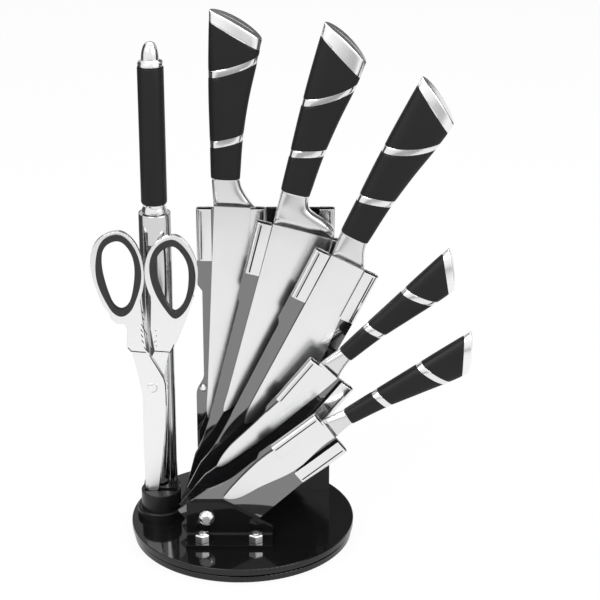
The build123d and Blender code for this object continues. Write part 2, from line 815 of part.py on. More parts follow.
def spine_at(handle, height):
    """Local x of the handle's spine side at a height above the grip line."""
    return handle.left - height * tan(radians(handle.lean)) - between(handle.sections, height, 1)


def width_at(handle, height):
    """Side-view width of the handle at a height above the grip line."""
    return between(handle.sections, height, 2)


def rounded_section(plane, height, left, width, thickness):
    """One rounded cross section of a handle on a plane square to it."""
    with BuildSketch(across(plane, height)) as section:
        with Locations((left + width / 2, 0)):
            RectangleRounded(width, thickness, section_round * thickness)
    return section.sketch


def handle_form(plane, handle):
    """Whole handle above the bolster, longer than needed at the top."""
    with BuildPart() as form:
        for height, _, width, thickness in handle.sections:
            left = spine_at(handle, height)
            add(rounded_section(plane, handle.start + height, left, width, thickness))
        loft()
    return form.part


def bolster_form(plane, knife):
    """Bolster from the full heel width of the blade up to the grip line, with a hollow flare on the belly side."""
    handle = knife.handle
    top_width = handle.sections[0][2]
    top_thickness = handle.sections[0][3]
    with BuildPart() as form:
        for share, flare in handle.flare:
            left = spine_at(handle, 0) * share
            right = knife.width + (spine_at(handle, 0) + top_width - knife.width) * flare
            thickness = heel_thickness + (top_thickness - heel_thickness) * share ** 0.8
            add(rounded_section(plane, handle.start * share, left, right - left, thickness))
        loft()
    return form.part


def line_height(handle, line, x):
    """Height at a local x of a slanting line, given as (height at the spine, height at the belly)."""
    share = (x - spine_at(handle, line[0])) / width_at(handle, line[1])
    return handle.start + line[0] + (line[1] - line[0]) * share


def curve_points(handle, line, sag):
    """Left end, middle and right end of a ring's edge that sags between the handle's sides."""
    left = spine_at(handle, line[0]) - cap_margin
    right = left + width_at(handle, line[1]) + 2 * cap_margin
    middle = (left + right) / 2
    return [
        (left, line_height(handle, line, left)),
        (middle, line_height(handle, line, middle) - sag),
        (right, line_height(handle, line, right)),
    ]


def band(handle, low, high, low_sag, high_sag):
    """Side-view face between two sagging lines, wider than the handle."""
    far_left = -3 * end_overrun
    far_right = 8 * end_overrun
    low_points = curve_points(handle, low, low_sag)
    high_points = curve_points(handle, high, high_sag)
    with BuildSketch(Plane.XY) as shape:
        with BuildLine():
            Spline(*low_points)
            Polyline(
                low_points[2],
                (far_right, low_points[2][1]),
                (far_right, high_points[2][1]),
                high_points[2],
            )
            Spline(*high_points)
            Polyline(
                high_points[0],
                (far_left, high_points[0][1]),
                (far_left, low_points[0][1]),
                low_points[0],
            )
        make_face()
    return shape.sketch


def cap_outline(handle):
    """Side-view outline of the cap: low left, low right, high right, middle of the domed end, high left."""
    left = spine_at(handle, handle.cap_top[0]) - cap_margin
    right = left + width_at(handle, handle.cap_top[1]) + 2 * cap_margin
    high_left = handle.start + handle.cap_top[0]
    high_right = handle.start + handle.cap_top[1]
    middle = ((left + right + handle.bulge) / 2, (high_left + high_right) / 2 + handle.bulge)
    low_left = (left, line_height(handle, handle.cap_low, left))
    low_right = (right, line_height(handle, handle.cap_low, right))
    return [low_left, low_right, (right, high_right), middle, (left, high_left)]


def shifted(line, amount):
    """A slanting line moved up by an amount."""
    return (line[0] + amount, line[1] + amount)


def core_middle(handle, height):
    """Local x of the middle of the steel core at a height above the grip line."""
    top = handle.cap_low[1]
    low_middle = spine_at(handle, 0) + width_at(handle, 0) / 2
    high_middle = spine_at(handle, top) + width_at(handle, top) * core_place
    return low_middle + (high_middle - low_middle) * height / top


def strip(handle, low, high, half_width):
    """Side-view outline of a strip along the middle of the handle, heights above the grip line."""
    return [
        (core_middle(handle, low) - half_width, handle.start + low),
        (core_middle(handle, low) + half_width, handle.start + low),
        (core_middle(handle, high) + half_width, handle.start + high),
        (core_middle(handle, high) - half_width, handle.start + high),
    ]


def slab(form, plane, handle, low, high, sags=(0, 0)):
    """The part of a handle between two slanting lines, each with its own sag."""
    outline = band(handle, low, high, *sags)
    with BuildPart() as piece:
        add(form)
        with BuildSketch(plane):
            add(outline)
        extrude(amount=3 * end_overrun, both=True, mode=Mode.INTERSECT)
    return piece.part


for knife in knives:
    plane = knife_plane(knife)
    handle = knife.handle
    form = handle_form(plane, handle)
    half_ring = handle.ring_width / 2
    core_depth = core_thickness * handle.sections[0][3] / large_sections[0][3]
    core_half = width_at(handle, 0) * core_share / 2
    core = strip(handle, -handle.start / 2, handle.cap_low[1] - end_overrun / 2, core_half)
    tang = strip(handle, -handle.start, tang_reach * handle.cap_low[1] / 95, core_half * tang_share)

    with BuildPart() as blade:
        with BuildSketch(plane):
            with BuildLine():
                Spline((knife.width, 0), *knife.edge, tangents=[(0, -1), (-1, -0.6)])
                Spline(knife.edge[-1], *reversed(knife.spine), tangents=[(-0.4, 1), (0, 1)])
                Line(knife.spine[0], (0, 0))
                Line((0, 0), (knife.width, 0))
            make_face()
        extrude(amount=blade_thickness / 2, both=True)
        widest = max([knife.width] + [point[0] for point in knife.edge])
        with BuildSketch(across(plane, knife.edge[-1][1] - 1)):
            with BuildLine():
                Polyline(
                    (-2, -blade_thickness / 2),
                    (-2, blade_thickness / 2),
                    (widest * 0.12, blade_thickness / 2),
                    (widest, edge_thickness / 2),
                    (widest, -edge_thickness / 2),
                    (widest * 0.12, -blade_thickness / 2),
                    close=True,
                )
            make_face()
        extrude(amount=1 - knife.edge[-1][1], mode=Mode.INTERSECT)
        with BuildSketch(plane):
            Polygon(*tang, align=None)
        extrude(amount=blade_thickness / 2, both=True)
    save(blade.part, f"knife_{knife.number}_blade")

    bolster = bolster_form(plane, knife)
    low_sag, high_sag = handle.sags
    rings = [
        slab(form, plane, handle, shifted(line, -half_ring), shifted(line, half_ring), (sag, sag))
        for line, sag in ((handle.low_ring, low_sag), (handle.high_ring, high_sag))
    ]
    with BuildPart() as shell:
        add(bolster)
        add(rings)
        with BuildSketch(plane):
            Polygon(*core, align=None)
        extrude(amount=core_depth / 2, both=True)
        with BuildSketch(plane):
            Polygon(*tang, align=None)
        extrude(amount=blade_thickness / 2, both=True, mode=Mode.SUBTRACT)
    save(shell.part, f"knife_{knife.number}_shell")

    low_edges = [shifted(handle.low_ring, -half_ring), shifted(handle.low_ring, half_ring)]
    high_edges = [shifted(handle.high_ring, -half_ring), shifted(handle.high_ring, half_ring)]
    low_grip = slab(form, plane, handle, (0, 0), low_edges[0], (0, low_sag))
    main_grip = slab(form, plane, handle, low_edges[1], high_edges[0], (low_sag, high_sag))
    end_grip = slab(form, plane, handle, high_edges[1], handle.cap_low, (high_sag, 0))
    with BuildPart() as grips:
        add([low_grip, main_grip, end_grip])
        with BuildSketch(plane):
            Polygon(*core, align=None)
        extrude(amount=core_depth / 2, both=True, mode=Mode.SUBTRACT)
    save(grips.part, f"knife_{knife.number}_grip")

    with BuildPart() as cap:
        add(form)
        outline = cap_outline(handle)
        with BuildSketch(plane):
            with BuildLine():
                Polyline(outline[4], outline[0], outline[1], outline[2])
                ThreePointArc(*outline[2:])
            make_face()
        extrude(amount=3 * end_overrun, both=True, mode=Mode.INTERSECT)
    save(cap.part, f"knife_{knife.number}_cap")

# ---------------------------------------------------------------- scissors
# Outlines as they stand in the holder. Points of a loop and its arm are (x, height above the step); points of a blade
# are (x, share of the step's height). The front half carries the left loop.
Half = namedtuple("Half", "name side frame hole arm blade")
front_half = Half(
    "front", -1,
    [
        (-91.9, 96), (-106.9, 84.5), (-109.5, 70), (-104.9, 48.5), (-99.4, 35.3), (-87.9, 27.2), (-75.4, 39.8),
        (-70.7, 67), (-78.3, 90),
    ],
    [
        (-91, 89), (-98.6, 84), (-101.5, 72.5), (-99.9, 57.5), (-96.1, 43.7), (-92.2, 36.6), (-88.2, 34.6),
        (-84.2, 36.6), (-80.2, 45.2), (-77.5, 61), (-77.7, 73), (-81.4, 83.2),
    ],
    [
        (-100.4, 47), (-96, 28), (-92.4, 23.8), (-85.8, 23.2), (-84.1, 18.6), (-85, 4.1), (-82.7, 1.5), (-81.1, 0),
        (-69.1, 0), (-70.4, 1.8), (-73.2, 33), (-74.3, 47),
    ],
    [
        (-81.1, 1), (-77.5, 0.88), (-75.6, 0.79), (-72.9, 0.69), (-72.5, 0.43), (-72.1, 0.19), (-70.9, 0.025),
        (-64.1, 0.17), (-60.7, 0.36), (-57.9, 0.54), (-56.6, 0.75), (-57.3, 0.83), (-68.6, 1),
    ],
)
rear_half = Half(
    "rear", 1,
    [
        (-50.8, 93), (-65.8, 81.6), (-69.7, 69), (-62.8, 39), (-48.8, 25), (-36.7, 41), (-30.9, 64), (-35.2, 81.6),
    ],
    [
        (-50.6, 85), (-57.6, 81), (-61.7, 72), (-61, 61), (-57.9, 49), (-53.4, 38.4), (-48.3, 33), (-44.2, 36),
        (-39.8, 45.4), (-37.8, 59), (-38.4, 70.5), (-43, 80.4),
    ],
    [
        (-66.1, 49), (-65.9, 40), (-66.9, 19.6), (-64.2, 1.8), (-64.7, 0), (-53.7, 0), (-50.3, 5.1), (-47.4, 9.4),
        (-41.2, 24.8), (-34.2, 45),
    ],
    [
        (-64.7, 1), (-72.7, 0.87), (-73.9, 0.79), (-74.4, 0.71), (-74.9, 0.43), (-74.5, 0.19), (-71.5, 0.025),
        (-67.3, 0.13), (-63.8, 0.34), (-62.3, 0.54), (-61.9, 0.7), (-58.5, 0.78), (-57.3, 0.88), (-53.7, 1),
    ],
)
front_plane = upright(scissor_y - halves_gap / 2)
rear_plane = upright(scissor_y + halves_gap / 2)
middle_plane = upright(scissor_y)
blade_layer = half_thickness - halves_gap / 2


def above_step(outline):
    """Points given as heights above the step, as heights above the deck."""
    return [(x, step_height + height) for x, height in outline]


def along_blade(outline):
    """Points given as shares of the step's height, as heights above the deck."""
    return [(x, step_height * share) for x, share in outline]


def egg(outline):
    """Face inside a smooth closed curve through points."""
    with BuildSketch(Plane.XY) as shape:
        with BuildLine():
            Spline(*outline, periodic=True)
        make_face()
    return shape.sketch


def grown(outline, amount):
    """The same outline moved outwards by an amount from its own middle, or inwards when it is negative."""
    middle = sum((Vector(*point) for point in outline), Vector()) / len(outline)
    moved = []
    for point in outline:
        away = Vector(*point) - middle
        place = middle + away * ((away.length + amount) / away.length)
        moved.append((place.X, place.Y))
    return moved


for half in (front_half, rear_half):
    hole = above_step(half.hole)
    pocket = grown(hole, liner_width)
    with BuildPart() as metal:
        with BuildSketch(middle_plane):
            add(egg(above_step(half.frame)))
            Polygon(*above_step(half.arm), align=None)
            add(egg(pocket), mode=Mode.SUBTRACT)
        extrude(amount=arm_thickness / 2, both=True)
        with BuildSketch(front_plane if half.side < 0 else rear_plane):
            Polygon(*along_blade(half.blade), align=None)
        extrude(amount=-half.side * blade_layer)
        with BuildSketch(middle_plane):
            with Locations((pivot_x, pivot_height)):
                Circle(pivot_radius + pivot_clearance)
        extrude(amount=arm_thickness, both=True, mode=Mode.SUBTRACT)
    save(metal.part, f"scissors_{half.name}_half")

    with BuildPart() as liner:
        with BuildSketch(middle_plane):
            add(egg(pocket))
            add(egg(hole), mode=Mode.SUBTRACT)
        extrude(amount=liner_thickness / 2, both=True)
    save(liner.part, f"scissors_{half.name}_liner")

with BuildPart() as scissors_pivot:
    head_planes = (upright(scissor_y - half_thickness), upright(scissor_y + half_thickness + pivot_head_height))
    for head_plane in head_planes:
        with BuildSketch(head_plane):
            with Locations((pivot_x, pivot_height)):
                Circle(pivot_head_radius)
        extrude(amount=pivot_head_height)
    with BuildSketch(middle_plane):
        with Locations((pivot_x, pivot_height)):
            Circle(pivot_radius)
    extrude(amount=half_thickness, both=True)
save(scissors_pivot.part, "scissors_pivot")
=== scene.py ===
"""Carousel knife stand with knives, sharpening steel and scissors: looks, light and camera around the CAD model."""

import json
import logging
import math
from dataclasses import dataclass, field
from enum import Enum
from typing import Sequence

import bmesh
import bpy
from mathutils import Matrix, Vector


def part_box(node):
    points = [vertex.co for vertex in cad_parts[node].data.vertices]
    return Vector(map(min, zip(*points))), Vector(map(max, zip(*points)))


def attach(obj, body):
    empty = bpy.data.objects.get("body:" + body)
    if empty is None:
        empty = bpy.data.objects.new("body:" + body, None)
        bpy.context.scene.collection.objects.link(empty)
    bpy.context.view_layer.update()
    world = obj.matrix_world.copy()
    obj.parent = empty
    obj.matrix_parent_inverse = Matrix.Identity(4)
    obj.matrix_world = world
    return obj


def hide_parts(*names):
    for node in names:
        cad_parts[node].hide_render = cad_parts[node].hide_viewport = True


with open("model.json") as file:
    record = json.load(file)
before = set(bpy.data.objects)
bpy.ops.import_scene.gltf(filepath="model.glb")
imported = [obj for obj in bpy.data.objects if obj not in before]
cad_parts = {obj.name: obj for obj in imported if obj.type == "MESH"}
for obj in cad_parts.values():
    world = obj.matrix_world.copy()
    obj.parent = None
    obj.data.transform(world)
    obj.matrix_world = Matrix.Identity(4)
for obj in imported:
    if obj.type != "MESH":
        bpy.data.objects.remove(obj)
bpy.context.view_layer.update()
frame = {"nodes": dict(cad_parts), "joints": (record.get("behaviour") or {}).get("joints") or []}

LOG = logging.getLogger("knife_stand")
MM = 0.001
WELD_DISTANCE = 2e-6
FLAT_ANGLE = 0.3
SMOOTH_ANGLE = 40.0

Point = tuple[float, float]
Place = tuple[float, float, float]
Ring = list[Vector]


# ---------------------------------------------------------------- bench: the modelling moves used by every class
def clear_selection() -> None:
    """Leave edit mode and deselect everything, CAD nodes included."""
    if bpy.context.object is not None and bpy.context.object.mode != "OBJECT":
        bpy.ops.object.mode_set(mode="OBJECT")
    bpy.ops.object.select_all(action="DESELECT")


def make_active(piece: bpy.types.Object) -> None:
    """Select one piece alone and make it active.

    Args:
        piece: the object to work on.
    """
    clear_selection()
    piece.hide_viewport = False
    piece.select_set(True)
    bpy.context.view_layer.objects.active = piece


def settle(piece: bpy.types.Object) -> None:
    """Move a piece's place into its mesh, so that its object sits at the origin, unturned and unscaled.

    Args:
        piece: the object to settle.
    """
    make_active(piece)
    bpy.ops.object.transform_apply(location=True, rotation=True, scale=True)


def apply_modifiers(piece: bpy.types.Object) -> None:
    """Apply every modifier of a piece, first to last.

    Args:
        piece: the object whose modifiers are applied.
    """
    make_active(piece)
    for modifier in list(piece.modifiers):
        bpy.ops.object.modifier_apply(modifier=modifier.name)


def open_edit(piece: bpy.types.Object) -> None:
    """Open a piece in edit mode with all of it selected.

    Args:
        piece: the piece to edit.
    """
    make_active(piece)
    bpy.ops.object.mode_set(mode="EDIT")
    bpy.ops.mesh.select_all(action="SELECT")


def close_edit() -> None:
    """Turn the selected faces outwards and leave edit mode."""
    bpy.ops.mesh.normals_make_consistent(inside=False)
    bpy.ops.object.mode_set(mode="OBJECT")


def shade(angle: float = SMOOTH_ANGLE) -> None:
    """Shade the selected piece smooth, but for edges sharper than an angle in degrees."""
    bpy.ops.object.shade_smooth_by_angle(angle=math.radians(angle))


def point_key(place: Vector) -> tuple[int, int, int]:
    """A place rounded to a tenth of a micrometre, to recognise a vertex by."""
    return tuple(round(value * 1e7) for value in place)


def loft(name: str, rings: Sequence[Ring], closed_ends: bool = True) -> bpy.types.Object:
    """Pull a closed loop of edges through a series of rings, by extruding it once for each.

    Args:
        name: name of the new piece.
        rings: the loops in order, all with the same number of points.
        closed_ends: whether both ends get a face.

    Returns:
        The new piece, with its normals outwards.
    """
    clear_selection()
    bpy.ops.mesh.primitive_circle_add(vertices=len(rings[0]), radius=1, fill_type="NOTHING")
    piece = bpy.context.object
    piece.name = name
    for vertex, place in zip(piece.data.vertices, rings[0]):
        vertex.co = place
    bpy.ops.object.mode_set(mode="EDIT")
    bpy.ops.mesh.select_all(action="SELECT")
    if closed_ends:
        bpy.ops.mesh.edge_face_add()
    for before, after in zip(rings, rings[1:]):
        if closed_ends:
            bpy.ops.mesh.extrude_region_move()
        else:
            bpy.ops.mesh.extrude_edges_move()
        mesh = bmesh.from_edit_mesh(piece.data)
        order = {point_key(place): index for index, place in enumerate(before)}
        for vertex in (v for v in mesh.verts if v.select):
            vertex.co = after[order[point_key(vertex.co)]]
        bmesh.update_edit_mesh(piece.data)
    bpy.ops.mesh.select_all(action="SELECT")
    close_edit()
    return piece


def weld(piece: bpy.types.Object) -> None:
    """Join the vertices of a piece that lie on one another and turn its normals outwards.

    Args:
        piece: the piece to weld.
    """
    open_edit(piece)
    bpy.ops.mesh.remove_doubles(threshold=WELD_DISTANCE)
    close_edit()


def copy_of(source: bpy.types.Object, name: str) -> bpy.types.Object:
    """A copy of a piece with its own mesh.

    Args:
        source: the piece to copy.
        name: name of the copy.

    Returns:
        The copy, free of any body.
    """
    twin = source.copy()
    twin.data = source.data.copy()
    twin.name = name
    twin.parent = None
    for key in [key for key in twin.keys() if key.startswith("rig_")]:
        del twin[key]
    bpy.context.scene.collection.objects.link(twin)
    twin.hide_render = False
    twin.hide_viewport = False
    return twin


def round_edges(piece: bpy.types.Object, width: float, segments: int = 3, angle: float = 30.0) -> None:
    """Bevel a piece's sharp edges and shade it smooth by angle.

    Args:
        piece: the piece to finish.
        width: the bevel's width in metres.
        segments: the bevel's steps.
        angle: edges sharper than this many degrees are bevelled.
    """
    bevel = piece.modifiers.new("edges", "BEVEL")
    bevel.width = width
    bevel.segments = segments
    bevel.limit_method = "ANGLE"
    bevel.angle_limit = math.radians(angle)
    bevel.miter_outer = "MITER_ARC"
    apply_modifiers(piece)
    shade()
    even = piece.modifiers.new("flat faces", "WEIGHTED_NORMAL")
    even.keep_sharp = True
    even.weight = 80
    apply_modifiers(piece)


def merged_copy(node: str, name: str) -> bpy.types.Object:
    """A CAD node's shape as a welded mesh with flat faces joined, ready for bevels.

    Args:
        node: name of the CAD node.
        name: name of the new piece.

    Returns:
        The new piece.
    """
    piece = copy_of(frame["nodes"][node], name)
    open_edit(piece)
    bpy.ops.mesh.remove_doubles(threshold=WELD_DISTANCE)
    bpy.ops.mesh.dissolve_limited(angle_limit=math.radians(FLAT_ANGLE))
    close_edit()
    return piece


# ---------------------------------------------------------------- finishes
class Slot(Enum):
    """The record's material slots."""

    SHEET = "black_gloss"
    BRIGHT = "polished"
    BLADE = "blade_steel"
    GRIP = "soft_grip"


def marks_group() -> bpy.types.NodeTree:
    """Fine marks shared by every finish: close grain over soft, wide smudges.

    Returns:
        The group, with input Scale and outputs Grain and Smudge.
    """
    found = bpy.data.node_groups.get("fine_marks")
    if found is not None:
        return found
    tree = bpy.data.node_groups.new("fine_marks", "ShaderNodeTree")
    tree.interface.new_socket(name="Scale", in_out="INPUT", socket_type="NodeSocketFloat")
    for label in ("Grain", "Smudge"):
        tree.interface.new_socket(name=label, in_out="OUTPUT", socket_type="NodeSocketFloat")
    nodes, links = tree.nodes, tree.links
    entry = nodes.new("NodeGroupInput")
    leave = nodes.new("NodeGroupOutput")
    place = nodes.new("ShaderNodeTexCoord")
    grain = nodes.new("ShaderNodeTexNoise")
    grain.inputs["Detail"].default_value = 3.0
    links.new(entry.outputs["Scale"], grain.inputs["Scale"])
    smudge = nodes.new("ShaderNodeTexNoise")
    smudge.inputs["Scale"].default_value = 28.0
    smudge.inputs["Detail"].default_value = 4.0
    for noise, label in ((grain, "Grain"), (smudge, "Smudge")):
        links.new(place.outputs["Object"], noise.inputs["Vector"])
        links.new(noise.outputs["Fac"], leave.inputs[label])
    return tree


@dataclass(frozen=True)
class Finish:
    """One surface finish, made as a procedural material.

    The roughness runs between roughness - spread and roughness + spread with the smudges, the colour is lightened and
    darkened a little by tone, grain gives the height of the fine marks in metres, and scale says how close they lie.
    """

    name: str
    colour: tuple[float, float, float]
    roughness: float
    metallic: float = 0.0
    ior: float = 1.5
    spread: float = 0.03
    tone: float = 0.0
    grain: float = 0.0
    scale: float = 900.0

    def material(self) -> bpy.types.Material:
        """The material of this finish, made once and shared.

        Returns:
            The material.
        """
        found = bpy.data.materials.get(self.name)
        if found is not None:
            return found
        material = bpy.data.materials.new(self.name)
        material.use_nodes = True
        nodes, links = material.node_tree.nodes, material.node_tree.links
        shader = nodes["Principled BSDF"]
        shader.inputs["Metallic"].default_value = self.metallic
        shader.inputs["IOR"].default_value = self.ior
        marks = nodes.new("ShaderNodeGroup")
        marks.node_tree = marks_group()
        marks.inputs["Scale"].default_value = self.scale
        rough = nodes.new("ShaderNodeMapRange")
        rough.inputs["From Min"].default_value = 0.3
        rough.inputs["From Max"].default_value = 0.7
        rough.inputs["To Min"].default_value = max(0.0, self.roughness - self.spread)
        rough.inputs["To Max"].default_value = self.roughness + self.spread
        links.new(marks.outputs["Smudge"], rough.inputs["Value"])
        links.new(rough.outputs["Result"], shader.inputs["Roughness"])
        blend = nodes.new("ShaderNodeMix")
        blend.data_type = "RGBA"
        blend.inputs["A"].default_value = (*[min(1.0, c * (1 - self.tone)) for c in self.colour], 1)
        blend.inputs["B"].default_value = (*[min(1.0, c * (1 + self.tone)) for c in self.colour], 1)
        links.new(marks.outputs["Grain"], blend.inputs["Factor"])
        links.new(blend.outputs["Result"], shader.inputs["Base Color"])
        if self.grain > 0:
            bump = nodes.new("ShaderNodeBump")
            bump.inputs["Strength"].default_value = 1.0
            bump.inputs["Distance"].default_value = self.grain
            links.new(marks.outputs["Grain"], bump.inputs["Height"])
            links.new(bump.outputs["Normal"], shader.inputs["Normal"])
        return material


ACRYLIC = Finish("gloss_black_sheet", (0.012, 0.012, 0.013), 0.045, ior=2.6, spread=0.015, tone=0.15)
BRACKET = Finish("gloss_black_bracket", (0.006, 0.006, 0.0065), 0.07, ior=1.32, spread=0.02, tone=0.15)
DECK = Finish("gloss_black_disc", (0.006, 0.006, 0.0065), 0.08, ior=1.42, spread=0.03, tone=0.15)
MOULDED = Finish("black_moulding", (0.01, 0.01, 0.011), 0.3, ior=1.35, spread=0.06, tone=0.2, grain=8e-6, scale=1500)
MAT = Finish("mat_rubber", (0.02, 0.02, 0.02), 0.75, ior=1.45, spread=0.1, tone=0.3, grain=4e-5, scale=900)
POLISHED = Finish("polished_steel", (0.82, 0.82, 0.825), 0.17, metallic=1.0, spread=0.03, tone=0.02)
BOLSTER = Finish("brushed_bolster", (0.72, 0.72, 0.725), 0.2, metallic=1.0, spread=0.03, tone=0.02)
CAP = Finish("brushed_cap", (0.9, 0.9, 0.905), 0.22, metallic=1.0, spread=0.03, tone=0.02)
MIRROR = Finish("bright_steel", (0.86, 0.86, 0.865), 0.05, metallic=1.0, spread=0.02, tone=0.02)
TUBE = Finish("tube_steel", (0.64, 0.64, 0.645), 0.12, metallic=1.0, spread=0.02, tone=0.02)
SATIN = Finish("satin_steel", (0.9, 0.9, 0.905), 0.26, metallic=1.0, spread=0.03, tone=0.03, grain=4e-6, scale=2600)
PLAIN = Finish("machined_steel", (0.62, 0.62, 0.63), 0.3, metallic=1.0, spread=0.08, tone=0.1, grain=1e-5, scale=1600)
BLADE = Finish("ground_blade", (0.83, 0.83, 0.835), 0.22, metallic=1.0, spread=0.03, tone=0.03, grain=3e-6, scale=2800)
GRIP = Finish(
    "soft_touch_grip", (0.0085, 0.0085, 0.009), 0.5, ior=1.31, spread=0.06, tone=0.25, grain=1.2e-5, scale=2400
)
LINER = Finish("soft_liner", (0.0235, 0.0235, 0.024), 0.5, ior=1.38, spread=0.06, tone=0.25, grain=1.2e-5, scale=2400)
# painted shade: grey for the arc drawn down one side of the scissors' rivet
SHADE = Finish("painted_grey_shade", (0.25, 0.25, 0.255), 0.4, metallic=0.6, spread=0.08, tone=0.2)
# dark lines for the scissors' joint, teeth and dimples, and also for painted shadow under the scissors' arms and
# painted reflection lines on the rolled guides
LINE = Finish("dark_joints_and_painted_shade", (0.02, 0.02, 0.021), 0.4, ior=1.3, spread=0.08, tone=0.3)

NODE_WORDS: dict[Finish, tuple[str, ...]] = {
    MAT: ("rubber_mat",),
    DECK: ("base_disc", "turntable_disc"),
    BRACKET: ("rear_panel", "front_bracket"),
    ACRYLIC: ("leaf_",),
    MOULDED: ("tube_socket", "hub_spacers"),
    POLISHED: ("guides_", "_insert", "_tube", "dome_nut", "foot_nuts", "panel_bolts", "_ferrule", "_shell", "_cap"),
    BLADE: ("_blade",),
    SATIN: ("_half", "scissors_pivot", "steel_rod"),
    GRIP: ("_grip",),
    LINER: ("_liner",),
}


def dress_nodes() -> None:
    """Give every CAD node the finish of what it is made of; what no word names is plain machined steel."""
    for name, node in frame["nodes"].items():
        matches = (finish for finish, words in NODE_WORDS.items() if any(word in name for word in words))
        node.data.materials.clear()
        node.data.materials.append(next(matches, PLAIN).material())


# ---------------------------------------------------------------- shared forms
def quarter_turn(steps: int) -> list[float]:
    """Angles from nought to a right angle in even steps, both ends among them."""
    return [math.pi / 2 * step / steps for step in range(steps + 1)]


def unit_section(count: int, power: float) -> list[Point]:
    """Points of a rounded section that fills the square from -1 to 1.

    Args:
        count: how many points.
        power: fullness of the corners; 2 gives a circle.

    Returns:
        The points in order.
    """
    points = []
    for step in range(count):
        angle = 2 * math.pi * (step + 0.5) / count
        x, y = math.cos(angle), math.sin(angle)
        points.append((math.copysign(abs(x) ** (2 / power), x), math.copysign(abs(y) ** (2 / power), y)))
    return points


def turned_rings(
    middle: Vector,
    profile: Sequence[Point],
    count: int = 48,
    up: Vector = Vector((0, 0, 1)),
) -> list[Ring]:
    """Rings round an axis, one for each (radius, height) of a profile.

    Args:
        middle: the foot of the axis.
        profile: the radii and heights in metres, in order.
        count: points in each ring.
        up: direction of the axis.

    Returns:
        The rings.
    """
    side = up.orthogonal().normalized()
    other = up.cross(side)
    rings = []
    for radius, height in profile:
        ring = []
        for step in range(count):
            angle = 2 * math.pi * step / count
            ring.append(middle + up * height + (side * math.cos(angle) + other * math.sin(angle)) * radius)
        rings.append(ring)
    return rings


def bead(
    name: str,
    paths: Sequence[Sequence[Vector]],
    radius: float,
    count: int = 8,
    tip: float = 0.45,
) -> bpy.types.Object:
    """Thin rounded bars that follow paths in planes facing the front, as one piece.

    Args:
        name: name of the new piece.
        paths: the points of each bar, in metres.
        radius: half the bars' width.
        count: points round each bar.
        tip: width of a bar's ends, as a share of its full width.

    Returns:
        The new piece.
    """
    bars = []
    for path in paths:
        rings = []
        for index, place in enumerate(path):
            before, after = path[max(0, index - 1)], path[min(len(path) - 1, index + 1)]
            along = (after - before).normalized()
            side = along.cross(Vector((0, 1, 0))).normalized()
            reach = radius * (tip if index in (0, len(path) - 1) else 1.0)
            ring = []
            for step in range(count):
                angle = 2 * math.pi * step / count
                ring.append(place + side * math.cos(angle) * reach + Vector((0, math.sin(angle) * reach, 0)))
            rings.append(ring)
        bars.append(loft(f"{name}_{len(bars)}", rings))
    clear_selection()
    for bar in bars:
        bar.select_set(True)
    bpy.context.view_layer.objects.active = bars[0]
    if len(bars) > 1:
        bpy.ops.object.join()
    bars[0].name = name
    shade(60)
    return bars[0]


def eased(path: Sequence[Vector], ends: float = 0.0006) -> list[Vector]:
    """A path with one more point a little inside each end, so that a bar's ends taper over a short way.

    Args:
        path: the points of the path.
        ends: distance of the new points from the ends, in metres.

    Returns:
        The new path.
    """
    first = path[0] + (path[1] - path[0]).normalized() * ends
    last = path[-1] + (path[-2] - path[-1]).normalized() * ends
    return [path[0], first, *path[1:-1], last, path[-1]]


def smooth_value(table: Sequence[Point], place: float) -> float:
    """Value of a smooth curve through known points.

    Args:
        table: (place, value) pairs in rising order of place.
        place: where the value is wanted.

    Returns:
        The value there.
    """
    places = [entry[0] for entry in table]
    index = max(0, min(len(table) - 2, sum(1 for known in places[1:-1] if known < place)))
    slopes = []
    for near in (index, index + 1):
        before, after = table[max(0, near - 1)], table[min(len(table) - 1, near + 1)]
        slopes.append((after[1] - before[1]) / (after[0] - before[0]))
    start, end = table[index], table[index + 1]
    span = end[0] - start[0]
    t = (place - start[0]) / span
    return (
        (2 * t**3 - 3 * t**2 + 1) * start[1]
        + (t**3 - 2 * t**2 + t) * span * slopes[0]
        + (3 * t**2 - 2 * t**3) * end[1]
        + (t**3 - t**2) * span * slopes[1]
    )


def finish_piece(piece: bpy.types.Object, finish: Finish, body: str, nodes: Sequence[str]) -> None:
    """Settle a new piece, give it its finish and body, and let it stand for its CAD nodes.

    Args:
        piece: the new piece.
        finish: what it is made of.
        body: the body that it rides on.
        nodes: the CAD nodes that it stands for.
    """
    settle(piece)
    piece.data.materials.clear()
    piece.data.materials.append(finish.material())
    for face in piece.data.polygons:
        face.material_index = 0
    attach(piece, body)
    if nodes:
        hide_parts(*nodes)
    LOG.info("%s: %d faces on %s", piece.name, len(piece.data.polygons), body)


# ---------------------------------------------------------------- knives
@dataclass(frozen=True)
class HandleSizes:
    """Sizes of one handle in millimetres.

    Heights count from the grip line, except start, which is the grip line's own height above the heel. A slanting line
    is (height at the spine side, height at the belly side). left and lean place the spine side and tilt it by degrees.
    A row of sections is (height, swell of the spine side, width, depth). sags are how far the two rings hang in their
    middle, and flare is the bolster's narrowing as (share of its height, share of the narrowing).
    """

    start: float
    left: float
    lean: float
    sections: tuple[tuple[float, float, float, float], ...]
    ring_width: float
    low_ring: Point
    high_ring: Point
    cap_low: Point
    cap_top: Point
    sags: Point
    flare: tuple[Point, ...]
    bulge: float
    heel_round: float


